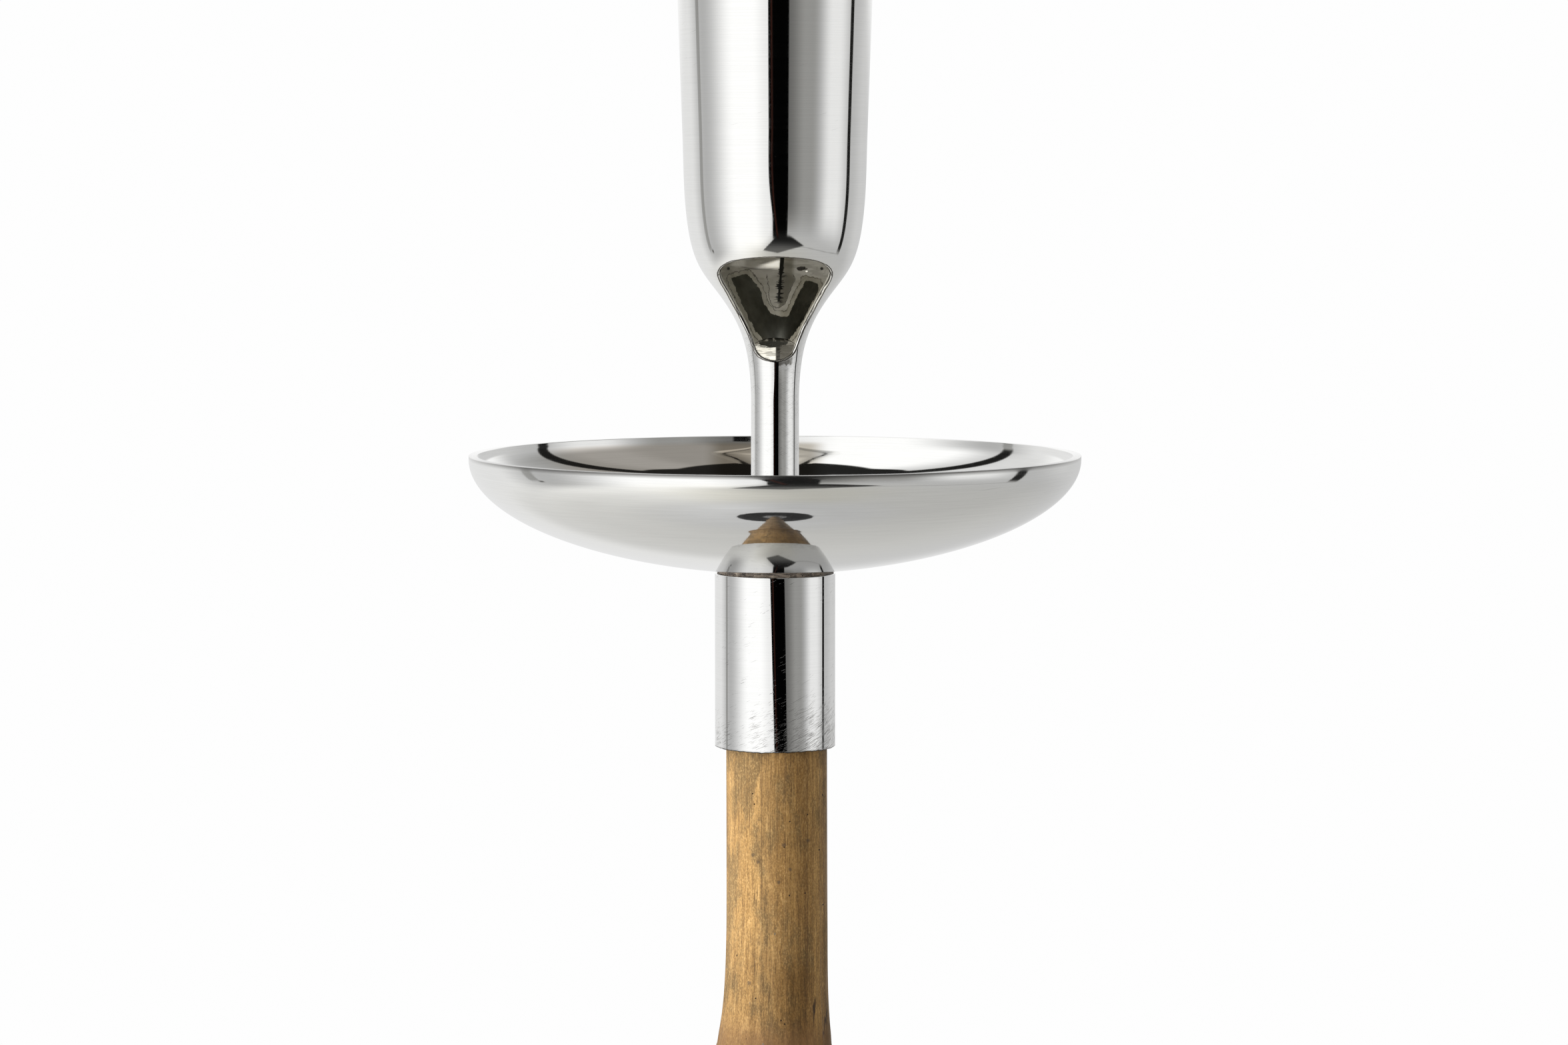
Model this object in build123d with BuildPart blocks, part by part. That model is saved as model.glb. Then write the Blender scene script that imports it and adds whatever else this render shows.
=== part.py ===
"""A tall pole candlestick: a steel cup and drip pan screwed to a bamboo pole, in a socket on a round base.

Millimetres, +Z up. The origin is the centre of the felt's underside, on the floor. The cup's window faces -Y.
The pole turns in the socket and lifts straight out of it.
The head unscrews from the ferrule on a right-hand thread.
"""

import os
from math import acos, cos, pi, sin

from build123d import *

# ---------------------------------------------------------------- driving dimensions

# base
base_radius = 142.5
base_thickness = 8.0
base_edge_round = 2.5
felt_thickness = 2.0
felt_inset = 4.0
flange_radius = 43.0
flange_thickness = 5.0
flange_edge_round = 2.0
socket_wall = 2.0
socket_height = 84.0
socket_mouth_chamfer = 0.6
socket_pad_thickness = 1.5

# countersunk screws that hold the flange on the base
screw_count = 4
screw_circle_radius = 30.0
screw_radius = 2.5
screw_head_radius = 4.9
screw_length = 11.0
screw_drive_width = 3.0
screw_drive_depth = 2.0
tap_runout = 1.0

# pole
pole_length = 1045.5
culm_top_radius = 12.7
culm_middle_radius = 11.9
culm_foot_radius = 12.2
culm_bore_radius = 6.5
diaphragm_thickness = 5.0
diaphragm_hole_radius = 3.0
internode_lengths = (302.0, 309.0, 306.4)
node_ring_height = 3.3
dowel_length = 60.0
foot_wall = 1.6
foot_length = 92.0
foot_plug_thickness = 8.0
foot_edge_round = 1.2
foot_lead_chamfer = 1.0
ferrule_wall = 2.0
ferrule_length = 43.0
ferrule_plug_thickness = 18.0
ferrule_edge_round = 0.2

# screw joint between the head and the ferrule: an M8 stud
stud_radius = 4.0
thread_pitch = 1.25
engaged_turns = 12
stud_depth_in_stem = 15.0
stud_end_chamfer = 0.6
washer_thickness = 0.7
washer_radius = 14.6

# drip pan
pan_radius = 76.05
pan_depth = 28.2
pan_wall = 2.1
pan_side_power = 1.064
pan_floor_power = 1.018
pan_outline_steps = 10

# both ends of every spline run at the speed of its chords
line_speed = (1.0, 1.0)

# stem and cup, with heights above the pan's rim
stem_radius = 5.95
neck_height = 14.6
shoulder_radius = 21.6
shoulder_height = 57.6
cup_side_radius = 22.9
cup_side_height = 80.6
cup_rim_radius = 25.4
cup_rim_height = 150.0
cup_wall = 1.3

# the window in the front of the funnel
window_half_width = 14.3
window_height = 26.5
window_tip_height = 24.2
wax_floor_slope = 22.0

# clearances
sliding_clearance = 0.1
thread_clearance = 0.05
glue_gap = 0.3
washer_gap = 0.1
screw_clearance = 0.1
seat_gap = 0.02
pan_hole_clearance = 0.25
pad_clearance = 0.3

# shares of the funnel's radius step and height, from the neck up to the shoulder
funnel_shape = (
    (0.021, 0.153),
    (0.09, 0.309),
    (0.249, 0.463),
    (0.518, 0.616),
    (0.815, 0.770),
    (0.962, 0.923),
)

# shares of the window's half width and height, from its tip up to the middle of its top edge
window_shape = (
    (0.315, 0.057),
    (0.438, 0.197),
    (0.709, 0.504),
    (0.901, 0.699),
    (0.988, 0.863),
    (0.937, 0.9),
    (0.546, 0.979),
)

# swelling at a bamboo node: height above the ring, and share of the ring's height
swelling_below = ((-16.0, 0.0), (-7.0, 0.10), (-3.0, 0.36))
swelling_above = ((3.0, 0.53), (8.0, 0.29), (16.0, 0.12), (30.0, 0.0))

# ---------------------------------------------------------------- heights and radii that follow

base_bottom = felt_thickness
base_top = base_bottom + base_thickness
pole_foot = base_top + socket_pad_thickness
ferrule_top = pole_foot + pole_length
pan_bottom = ferrule_top + washer_thickness
pan_rim = pan_bottom + pan_depth
pan_lip = pan_rim + pan_wall / 2
neck = pan_rim + neck_height
cup_rim = pan_rim + cup_rim_height

ferrule_bore = culm_top_radius + glue_gap
ferrule_radius = ferrule_bore + ferrule_wall
foot_bore = culm_foot_radius + glue_gap
foot_radius = foot_bore + foot_wall
socket_bore = foot_radius + sliding_clearance
socket_radius = socket_bore + socket_wall

culm_foot = pole_foot + foot_plug_thickness
culm_top = ferrule_top - ferrule_plug_thickness
stud_reach = engaged_turns * thread_pitch
stud_bottom = ferrule_top - stud_reach


def pan_height(radius, inset=0.0):
    """Height of the pan's outer face, or of the face inset from it, at a radius."""
    angle = acos((radius / (pan_radius - inset)) ** (1 / pan_side_power))
    return pan_rim - (pan_depth - inset) * sin(angle) ** pan_floor_power


def pan_line(inset=0.0):
    """Points on a pan face from its rim to the axis: an ellipse with cos and sin raised to powers near one."""
    angles = [index * pi / 2 / pan_outline_steps for index in range(pan_outline_steps)]
    return [
        (
            (pan_radius - inset) * cos(angle) ** pan_side_power,
            pan_rim - (pan_depth - inset) * sin(angle) ** pan_floor_power,
        )
        for angle in angles
    ] + [(0, pan_bottom + inset)]


stem_foot = pan_height(stem_radius, pan_wall) + seat_gap
stud_top = stem_foot + stud_depth_in_stem


def finish(part, name):
    """Names a finished sub-part and writes its STEP file."""
    part.part.label = name
    export_step(part.part, f"parts/{name}.step")


os.makedirs("parts", exist_ok=True)

# ---------------------------------------------------------------- base

with BuildPart() as base_felt:
    with BuildSketch():
        Circle(base_radius - felt_inset)
    extrude(amount=felt_thickness)
finish(base_felt, "base_felt")

with BuildPart() as base_plate:
    with BuildSketch(Plane.XY.offset(base_bottom)):
        Circle(base_radius)
    extrude(amount=base_thickness)
    top_rim = base_plate.faces().sort_by(Axis.Z)[-1].edges()
    fillet(top_rim, radius=min(base_edge_round, 0.9 * base_thickness))
    with BuildSketch(Plane.XY.offset(base_top)):
        with PolarLocations(screw_circle_radius, screw_count, start_angle=45):
            Circle(screw_radius + thread_clearance)
    extrude(amount=-(screw_length - flange_thickness + tap_runout), mode=Mode.SUBTRACT)
finish(base_plate, "base_plate")

with BuildPart() as socket_flange:
    with BuildSketch(Plane.XY.offset(base_top)):
        Circle(flange_radius)
        Circle(socket_radius, mode=Mode.SUBTRACT)
    extrude(amount=flange_thickness)
    flange_rim = socket_flange.faces().sort_by(Axis.Z)[-1].edges().sort_by(SortBy.RADIUS)[-1]
    fillet(flange_rim, radius=min(flange_edge_round, 0.9 * flange_thickness))
    with Locations(Plane.XY.offset(base_top + flange_thickness)):
        with PolarLocations(screw_circle_radius, screw_count, start_angle=45):
            CounterSinkHole(screw_radius + screw_clearance, screw_head_radius + screw_clearance)
finish(socket_flange, "socket_flange")

with BuildPart() as socket_tube:
    with BuildSketch(Plane.XY.offset(base_top)):
        Circle(socket_radius)
        Circle(socket_bore, mode=Mode.SUBTRACT)
    extrude(amount=socket_height)
    chamfer(socket_tube.faces().sort_by(Axis.Z)[-1].edges(), length=socket_mouth_chamfer)
finish(socket_tube, "socket_tube")

with BuildPart() as socket_pad:
    with BuildSketch(Plane.XY.offset(base_top)):
        Circle(socket_bore - pad_clearance)
    extrude(amount=socket_pad_thickness)
finish(socket_pad, "socket_pad")

flange_top = base_top + flange_thickness
screw_head_depth = screw_head_radius - screw_radius
with BuildPart() as one_screw:
    with BuildSketch(Plane.XZ):
        with BuildLine():
            Polyline(
                (0, flange_top),
                (screw_head_radius, flange_top),
                (screw_radius, flange_top - screw_head_depth),
                (screw_radius, flange_top - screw_length),
                (0, flange_top - screw_length),
                close=True,
            )
        make_face()
    revolve(axis=Axis.Z)
    with BuildSketch(Plane.XY.offset(flange_top)):
        RegularPolygon(screw_drive_width / 2, 6, major_radius=False)
    extrude(amount=-screw_drive_depth, mode=Mode.SUBTRACT)
with BuildPart() as flange_screws:
    with PolarLocations(screw_circle_radius, screw_count, start_angle=45):
        add(one_screw.part)
finish(flange_screws, "flange_screws")

# ---------------------------------------------------------------- pole

with BuildPart() as foot_ferrule:
    with BuildSketch(Plane.XY.offset(pole_foot)):
        Circle(foot_radius)
        Circle(foot_bore, mode=Mode.SUBTRACT)
    extrude(amount=foot_length)
    foot_top_edge = foot_ferrule.faces().sort_by(Axis.Z)[-1].edges().sort_by(SortBy.RADIUS)[-1]
    fillet(foot_top_edge, radius=min(foot_edge_round, 0.8 * foot_wall))
    foot_lead_edge = foot_ferrule.faces().sort_by(Axis.Z)[0].edges().sort_by(SortBy.RADIUS)[-1]
    chamfer(foot_lead_edge, length=min(foot_lead_chamfer, 0.8 * foot_wall))
finish(foot_ferrule, "foot_ferrule")

with BuildPart() as foot_plug:
    with BuildSketch(Plane.XY.offset(pole_foot)):
        Circle(foot_bore)
    extrude(amount=foot_plug_thickness)
finish(foot_plug, "foot_plug")

# Bamboo nodes stand on their internodes from the foot up, as far as the culm leaves room below the ferrule.
highest_node = ferrule_top - ferrule_length - swelling_above[-1][0]
node_heights = []
reached = culm_foot
for internode_length in internode_lengths:
    reached += internode_length
    if reached < highest_node:
        node_heights.append(reached)

internode_radii = [culm_foot_radius] + [culm_middle_radius] * (len(node_heights) - 1) + [culm_top_radius]

with BuildPart() as bamboo_pole:
    with BuildSketch(Plane.XZ):
        with BuildLine() as culm_outline:
            start = (internode_radii[0], culm_foot)
            for index, height in enumerate(node_heights):
                lower, upper = internode_radii[index], internode_radii[index + 1]
                ring = node_ring_height
                swelling = [(lower + share * ring, height + rise) for rise, share in swelling_below]
                swelling += [(upper + ring, height)]
                swelling += [(upper + share * ring, height + rise) for rise, share in swelling_above]
                Line(start, swelling[0])
                Spline(*swelling, tangents=[(0, 1), (0, 1)], tangent_scalars=line_speed)
                start = swelling[-1]
            Line(start, (internode_radii[-1], culm_top))
            Polyline(
                (internode_radii[-1], culm_top),
                (culm_bore_radius, culm_top),
                (culm_bore_radius, culm_foot),
                (internode_radii[0], culm_foot),
            )
        make_face()
        for height in node_heights:
            with Locations(((culm_bore_radius + diaphragm_hole_radius) / 2, height)):
                Rectangle(culm_bore_radius - diaphragm_hole_radius, diaphragm_thickness)
    revolve(axis=Axis.Z)
finish(bamboo_pole, "bamboo_pole")

with BuildPart() as foot_dowel:
    with BuildSketch(Plane.XY.offset(culm_foot)):
        Circle(culm_bore_radius)
    extrude(amount=dowel_length)
finish(foot_dowel, "foot_dowel")

with BuildPart() as head_dowel:
    with BuildSketch(Plane.XY.offset(culm_top)):
        Circle(culm_bore_radius)
    extrude(amount=-dowel_length)
finish(head_dowel, "head_dowel")

with BuildPart() as head_ferrule:
    with BuildSketch(Plane.XY.offset(ferrule_top - ferrule_length)):
        Circle(ferrule_radius)
        Circle(ferrule_bore, mode=Mode.SUBTRACT)
    extrude(amount=ferrule_length)
    ferrule_rim = head_ferrule.faces().sort_by(Axis.Z)[-1].edges().sort_by(SortBy.RADIUS)[-1]
    fillet(ferrule_rim, radius=ferrule_edge_round)
finish(head_ferrule, "head_ferrule")

with BuildPart() as ferrule_plug:
    with BuildSketch(Plane.XY.offset(ferrule_top)):
        Circle(ferrule_bore)
        Circle(stud_radius + thread_clearance, mode=Mode.SUBTRACT)
    extrude(amount=-ferrule_plug_thickness)
finish(ferrule_plug, "ferrule_plug")

# ---------------------------------------------------------------- joint washer

washer_bore = stud_radius + pan_hole_clearance
with BuildPart() as pan_washer:
    with BuildSketch(Plane.XZ):
        with BuildLine():
            Line((washer_bore, ferrule_top), (washer_radius, ferrule_top))
            Line((washer_radius, ferrule_top), (washer_radius, pan_height(washer_radius) - washer_gap))
            middle = (washer_radius + washer_bore) / 2
            Spline(
                (washer_radius, pan_height(washer_radius) - washer_gap),
                (middle, pan_height(middle) - washer_gap),
                (washer_bore, pan_height(washer_bore) - washer_gap),
            )
            Line((washer_bore, pan_height(washer_bore) - washer_gap), (washer_bore, ferrule_top))
        make_face()
    revolve(axis=Axis.Z)
finish(pan_washer, "pan_washer")

# ---------------------------------------------------------------- head

with BuildPart() as drip_pan:
    with BuildSketch(Plane.XZ):
        with BuildLine():
            Spline(*pan_line(), tangents=[(0, -1), (-1, 0)], tangent_scalars=line_speed)
            Line((0, pan_bottom), (0, pan_bottom + pan_wall))
            Spline(*pan_line(pan_wall), tangents=[(0, -1), (-1, 0)], tangent_scalars=line_speed)
            Polyline(
                (pan_radius - pan_wall, pan_rim),
                (pan_radius - pan_wall, pan_lip),
                (pan_radius, pan_lip),
                (pan_radius, pan_rim),
            )
        make_face()
    revolve(axis=Axis.Z)
    fillet(drip_pan.faces().sort_by(Axis.Z)[-1].edges(), radius=0.49 * pan_wall)
    with BuildSketch(Plane.XY.offset(pan_bottom)):
        Circle(stud_radius + pan_hole_clearance)
    extrude(amount=2 * pan_wall, both=True, mode=Mode.SUBTRACT)
finish(drip_pan, "drip_pan")

with BuildPart() as head_stud:
    with BuildSketch(Plane.XY.offset(stud_bottom)):
        Circle(stud_radius)
    extrude(amount=stud_top - stud_bottom)
    chamfer(head_stud.edges().filter_by(GeomType.CIRCLE).sort_by(Axis.Z)[0], length=stud_end_chamfer)
finish(head_stud, "head_stud")


def moved_inward(points, distance):
    """The same points moved square to their line, towards the axis of a line that rises."""
    moved = []
    for index, (x, z) in enumerate(points):
        before, after = points[max(index - 1, 0)], points[min(index + 1, len(points) - 1)]
        along = Vector(after[0] - before[0], after[1] - before[1]).normalized()
        moved.append((x - distance * along.Y, z + distance * along.X))
    return moved


funnel_step = shoulder_radius - stem_radius
funnel_rise = shoulder_height - neck_height
funnel = [(stem_radius + across * funnel_step, neck + up * funnel_rise) for across, up in funnel_shape]
shoulder = (shoulder_radius, pan_rim + shoulder_height)
side_foot = (cup_side_radius, pan_rim + cup_side_height)
flare = Vector(cup_rim_radius - cup_side_radius, cup_rim_height - cup_side_height).normalized()
cup_outer = [(stem_radius, neck), *funnel, shoulder, side_foot]
cup_inner = moved_inward(cup_outer, cup_wall)
cup_inner[0] = (stem_radius - cup_wall, neck)
cup_inner_rim = (cup_rim_radius - cup_wall, cup_rim)

with BuildSketch(Plane.XZ) as cup_wall_section:
    with BuildLine():
        outside = Spline(*cup_outer, tangents=[(0, 1), flare], tangent_scalars=line_speed)
        inside = Spline(*cup_inner, tangents=[(0, 1), flare], tangent_scalars=line_speed)
        Polyline(outside @ 1, (cup_rim_radius, cup_rim), cup_inner_rim, inside @ 1)
        Line(inside @ 0, outside @ 0)
    make_face()

with BuildSketch(Plane.XZ) as cup_inside_section:
    with BuildLine():
        inside = Spline(*cup_inner, tangents=[(0, 1), flare], tangent_scalars=line_speed)
        Polyline(inside @ 1, cup_inner_rim, (0, cup_rim), (0, neck), inside @ 0)
    make_face()

window_tip = pan_rim + window_tip_height
with BuildPart() as cup_shell:
    add(cup_wall_section.sketch)
    revolve(axis=Axis.Z)
    fillet(cup_shell.edges().group_by(Axis.Z)[-1], radius=0.45 * cup_wall)
    with BuildSketch(Plane.XZ):
        with BuildLine():
            width, height = window_half_width, window_height
            side = [(across * width, window_tip + up * height) for across, up in window_shape]
            top = (0, window_tip + height)
            Spline((0, window_tip), *side, top, tangents=[(1, 0), (-1, 0)], tangent_scalars=line_speed)
            mirror(about=Plane.YZ)
        make_face()
    extrude(amount=2 * cup_rim_radius, mode=Mode.SUBTRACT)
finish(cup_shell, "cup_shell")

with BuildPart() as stem_rod:
    with BuildSketch(Plane.XY.offset(stem_foot)):
        Circle(stem_radius)
    extrude(amount=neck - stem_foot)
    add(cup_inside_section.sketch)
    revolve(axis=Axis.Z)
    wax_floor = Plane((0, -stem_radius, window_tip)).rotated((wax_floor_slope, 0, 0))
    split(bisect_by=wax_floor, keep=Keep.BOTTOM)
    with BuildSketch(Plane.XY.offset(stem_foot)):
        Circle(stud_radius)
    extrude(amount=stud_depth_in_stem, mode=Mode.SUBTRACT)
finish(stem_rod, "stem_rod")
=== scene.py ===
"""Looks for the tall pole candlestick: polished cup, pan and ferrule, bamboo pole, black base.
Metres, +Z up, front at -Y."""

import math

import bpy
import numpy as np
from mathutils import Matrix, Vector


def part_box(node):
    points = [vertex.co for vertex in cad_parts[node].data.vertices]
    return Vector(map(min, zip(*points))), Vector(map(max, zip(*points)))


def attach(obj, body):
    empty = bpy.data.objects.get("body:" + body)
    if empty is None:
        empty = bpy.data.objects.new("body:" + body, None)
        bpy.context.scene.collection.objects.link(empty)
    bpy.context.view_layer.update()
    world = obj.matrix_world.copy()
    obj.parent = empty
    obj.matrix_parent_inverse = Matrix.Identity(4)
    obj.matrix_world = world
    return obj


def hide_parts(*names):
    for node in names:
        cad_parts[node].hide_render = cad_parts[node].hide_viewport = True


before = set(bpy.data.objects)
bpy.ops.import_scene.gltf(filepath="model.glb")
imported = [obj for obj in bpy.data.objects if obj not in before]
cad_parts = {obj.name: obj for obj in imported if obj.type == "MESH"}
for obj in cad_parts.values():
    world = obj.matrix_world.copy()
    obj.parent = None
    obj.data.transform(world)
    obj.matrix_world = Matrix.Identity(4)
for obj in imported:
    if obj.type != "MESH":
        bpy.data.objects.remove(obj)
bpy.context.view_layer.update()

MM = 0.001

# ---------------------------------------------------------------- sizes, in millimetres

pan_radius = 76.05
pan_depth = 28.2
pan_wall = 2.1
pan_side_power = 1.064
pan_floor_power = 1.018
stem_radius = 5.95
neck_height = 14.6
shoulder_radius = 21.6
shoulder_height = 57.6
cup_side_radius = 22.9
cup_side_height = 80.6
cup_rim_radius = 25.4
cup_rim_height = 150.0
cup_wall = 1.3
edge_fullness = 0.8
window_half_width = 14.3
window_height = 26.5
window_tip_height = 24.2
funnel_shape = ((0.021, 0.153), (0.09, 0.309), (0.249, 0.463), (0.518, 0.616), (0.815, 0.770), (0.962, 0.923))
window_shape = (
    (0.315, 0.057), (0.438, 0.197), (0.709, 0.504), (0.901, 0.699), (0.988, 0.863), (0.937, 0.9),
    (0.546, 0.979),
)

pan_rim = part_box("drip_pan")[1].z / MM - pan_wall / 2
neck = pan_rim + neck_height

# ---------------------------------------------------------------- mesh helpers


def make_piece(name, body, points, faces, normals=None, replaces=(), slot=None, **values):
    """Builds a smooth mesh piece from millimetre points, quads whose repeated corners are dropped, and
    surface normals. Further values are stored one per point, as attributes that the piece's material
    reads."""
    mesh = bpy.data.meshes.new(name)
    points = np.asarray(points, float).reshape(-1, 3) * MM
    faces = np.asarray(faces, np.int32)
    keep = faces != np.roll(faces, -1, 1)
    whole = keep.sum(1) > 2
    faces, keep = faces[whole], keep[whole]
    totals = keep.sum(1).astype(np.int32)
    starts = np.concatenate(([0], np.cumsum(totals)[:-1])).astype(np.int32)
    mesh.vertices.add(len(points))
    mesh.vertices.foreach_set("co", points.astype(np.float32).ravel())
    mesh.loops.add(int(totals.sum()))
    mesh.loops.foreach_set("vertex_index", faces[keep])
    mesh.polygons.add(len(totals))
    mesh.polygons.foreach_set("loop_start", starts)
    mesh.polygons.foreach_set("loop_total", totals)
    for label, numbers in values.items():
        stored = mesh.attributes.new(label, "FLOAT", "POINT")
        stored.data.foreach_set("value", np.asarray(numbers, np.float32).ravel())
    mesh.update(calc_edges=True)
    mesh.polygons.foreach_set("use_smooth", np.ones(len(totals), bool))
    if normals is not None:
        mesh.normals_split_custom_set_from_vertices(np.asarray(normals, float).reshape(-1, 3).tolist())
    piece = bpy.data.objects.new(name, mesh)
    bpy.context.scene.collection.objects.link(piece)
    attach(piece, body)
    if replaces:
        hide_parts(*replaces)
    return piece


def grid_faces(rows, columns, closed=True, first=0):
    """Quads of a grid of rows by columns whose rows close on themselves."""
    row, column = np.meshgrid(
        np.arange(rows - 1), np.arange(columns if closed else columns - 1), indexing="ij"
    )
    right = (column + 1) % columns
    quads = [
        row * columns + column,
        row * columns + right,
        (row + 1) * columns + right,
        (row + 1) * columns + column,
    ]
    return first + np.stack(quads, -1).reshape(-1, 4)


def welded(parts):
    """Joins (points, normals, faces, along, inner) parts into one set, with points that coincide to a
    micron made one. along is the length along a piece's outline and inner is 1 on its inside, each a
    number or an array."""
    points = np.concatenate([part[0].reshape(-1, 3) for part in parts])
    normals = np.concatenate([part[1].reshape(-1, 3) for part in parts])
    offsets = np.cumsum([0] + [part[0].size // 3 for part in parts[:-1]])
    faces = np.concatenate([part[2] + offset for part, offset in zip(parts, offsets)])
    _, first, same = np.unique(np.round(points, 3), axis=0, return_index=True, return_inverse=True)
    values = {}
    for index, label in ((3, "along"), (4, "inner")):
        every = [np.broadcast_to(part[index], part[0].shape[:-1]).ravel() for part in parts]
        values[label] = np.concatenate(every)[first]
    return points[first], normals[first], same.reshape(-1)[faces], values


def length_along(line):
    """Distance along a line of (radius, height) points."""
    return np.concatenate(([0], np.cumsum(np.linalg.norm(np.diff(line, axis=0), axis=1))))


def turned(line, across, columns=256, angles=None):
    """A surface of revolution: every (radius, height) of the line is carried round the Z axis. across
    holds its normals."""
    turns = np.linspace(0, 2 * np.pi, columns, endpoint=False) if angles is None else angles
    cos, sin = np.cos(turns), np.sin(turns)
    line, across = np.asarray(line, float), np.asarray(across, float)
    points = np.stack([line[:, :1] * cos, line[:, :1] * sin, np.repeat(line[:, 1:], len(turns), 1)], -1)
    normals = np.stack(
        [across[:, :1] * cos, across[:, :1] * sin, np.repeat(across[:, 1:], len(turns), 1)], -1
    )
    return points, normals, grid_faces(len(line), len(turns), angles is None)


def smooth_line(points, start, end, times=None, steps=80):
    """A line of cubics through the points, timed by chord length, with even bending at each point and
    given ends. Returns places and directions at the asked times, or at even steps."""
    points = np.asarray(points, float)
    chords = np.linalg.norm(np.diff(points, axis=0), axis=1)
    knots = np.concatenate(([0], np.cumsum(chords)))
    count = len(points)
    matrix, wanted = np.zeros((count, count)), np.zeros((count, 2))
    matrix[0, 0] = matrix[-1, -1] = 1
    wanted[0], wanted[-1] = start, end
    before, after = chords[:-1], chords[1:]
    inner = np.arange(1, count - 1)
    matrix[inner, inner - 1] = after
    matrix[inner, inner] = 2 * (before + after)
    matrix[inner, inner + 1] = before
    rises = np.diff(points, axis=0)
    wanted[1:-1] = 3 * ((after / before)[:, None] * rises[:-1] + (before / after)[:, None] * rises[1:])
    speeds = np.linalg.solve(matrix, wanted)
    times = np.linspace(0, knots[-1], steps) if times is None else np.asarray(times, float)
    span = np.clip(np.searchsorted(knots, times, side="right") - 1, 0, count - 2)
    length = chords[span][:, None]
    share = ((times - knots[span]) / chords[span])[:, None]
    places = (
        (2 * share**3 - 3 * share**2 + 1) * points[span]
        + (share**3 - 2 * share**2 + share) * length * speeds[span]
        + (3 * share**2 - 2 * share**3) * points[span + 1]
        + (share**3 - share**2) * length * speeds[span + 1]
    )
    directions = (
        (6 * share**2 - 6 * share) / length * points[span]
        + (3 * share**2 - 4 * share + 1) * speeds[span]
        + (6 * share - 6 * share**2) / length * points[span + 1]
        + (3 * share**2 - 2 * share) * speeds[span + 1]
    )
    return places, directions / np.linalg.norm(directions, axis=1)[:, None]


def right_of(directions):
    """Normals on the right-hand side of a line's directions."""
    return np.stack([directions[:, 1], -directions[:, 0]], 1)


def edged_line(corners, edge=0.3, steps=5):
    """A turned outline of straight runs whose corners are rounded by a small arc. The outline's right
    side is outside."""
    corners = np.asarray(corners, float)
    line, across = [], []
    runs = np.diff(corners, axis=0)
    along = runs / np.linalg.norm(runs, axis=1)[:, None]
    sides = right_of(along)
    line.append(corners[:1])
    across.append(sides[:1])
    for index in range(1, len(corners) - 1):
        before, after = along[index - 1], along[index]
        reach = min(edge, 0.45 * np.linalg.norm(runs[index - 1]), 0.45 * np.linalg.norm(runs[index]))
        share = np.linspace(0, 1, steps)[:, None]
        corner = corners[index]
        start, end = corner - reach * before, corner + reach * after
        line.append((1 - share) ** 2 * start + 2 * share * (1 - share) * corner + share**2 * end)
        turn = (1 - share) * sides[index - 1] + share * sides[index]
        across.append(turn / np.linalg.norm(turn, axis=1)[:, None])
    line.append(corners[-1:])
    across.append(sides[-1:])
    return np.concatenate(line), np.concatenate(across)


# ---------------------------------------------------------------- drip pan

hole_radius = 4.25
pan_lip_rise = 1.05
pan_lip_edge = 0.2
rim_lean = 0.05
rim_lean_from = 12.0
rim_lean_reach = 9.0


def pan_face(inset, steps=90):
    """The pan's face from the hole to the rim: r = a cos(t)^p and z = -b sin(t)^q, with normals from that
    curve's slope."""
    across, deep = pan_radius - inset, pan_depth - inset
    last = math.acos((hole_radius / across) ** (1 / pan_side_power))
    turn = np.linspace(last, 0, steps)
    line = np.stack(
        [across * np.cos(turn) ** pan_side_power, pan_rim - deep * np.sin(turn) ** pan_floor_power], 1
    )
    out = (np.cos(turn) ** (2 - pan_side_power)) / across
    down = -(np.sin(turn) ** (2 - pan_floor_power)) / deep
    normals = np.stack([out * pan_floor_power, down * pan_side_power], 1)
    return line, normals / np.linalg.norm(normals, axis=1)[:, None]


def make_pan():
    """The spun pan: its underside, a rolled lip and the inside, in one closed turned line. The
    underside's normals lean down near the rim, by a smooth step of the height."""
    under, under_across = pan_face(0)
    inside, inside_across = pan_face(pan_wall)
    corners = [
        under[-1],
        (pan_radius, pan_rim + pan_lip_rise),
        (pan_radius - pan_wall, pan_rim + pan_lip_rise),
        inside[-1],
    ]
    lip, lip_across = edged_line(corners, pan_lip_edge, 9)
    line = np.concatenate([under, lip[1:-1], inside[::-1], under[:1]])
    across = np.concatenate([under_across, lip_across[1:-1], -inside_across[::-1], under_across[:1]])
    points, normals, faces, values = welded([(*turned(line, across, 320), length_along(line)[:, None], 0.0)])
    outside = (normals[:, 2] < 0.02) & (points[:, 2] < pan_rim + 0.5 * pan_lip_rise)
    rim_share = np.clip((points[:, 2] - pan_rim + rim_lean_from) / rim_lean_reach, 0, 1) * outside
    normals[:, 2] -= rim_lean * rim_share**2 * (3 - 2 * rim_share)
    normals /= np.linalg.norm(normals, axis=1)[:, None]
    lip_top = points[:, 2] > pan_rim + pan_lip_rise - 1.1 * pan_lip_edge
    # the lip's top is made darker and rougher, more so towards the front
    values["lip_front_dark"] = lip_top * np.clip((15.0 - points[:, 1]) / 75.0, 0, 1)
    values["haze"] = outside.astype(float)
    return make_piece(
        "drip_pan_spun", "head", points, faces, normals, ["drip_pan"], "polished_steel", **values
    )


# ---------------------------------------------------------------- cup

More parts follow.
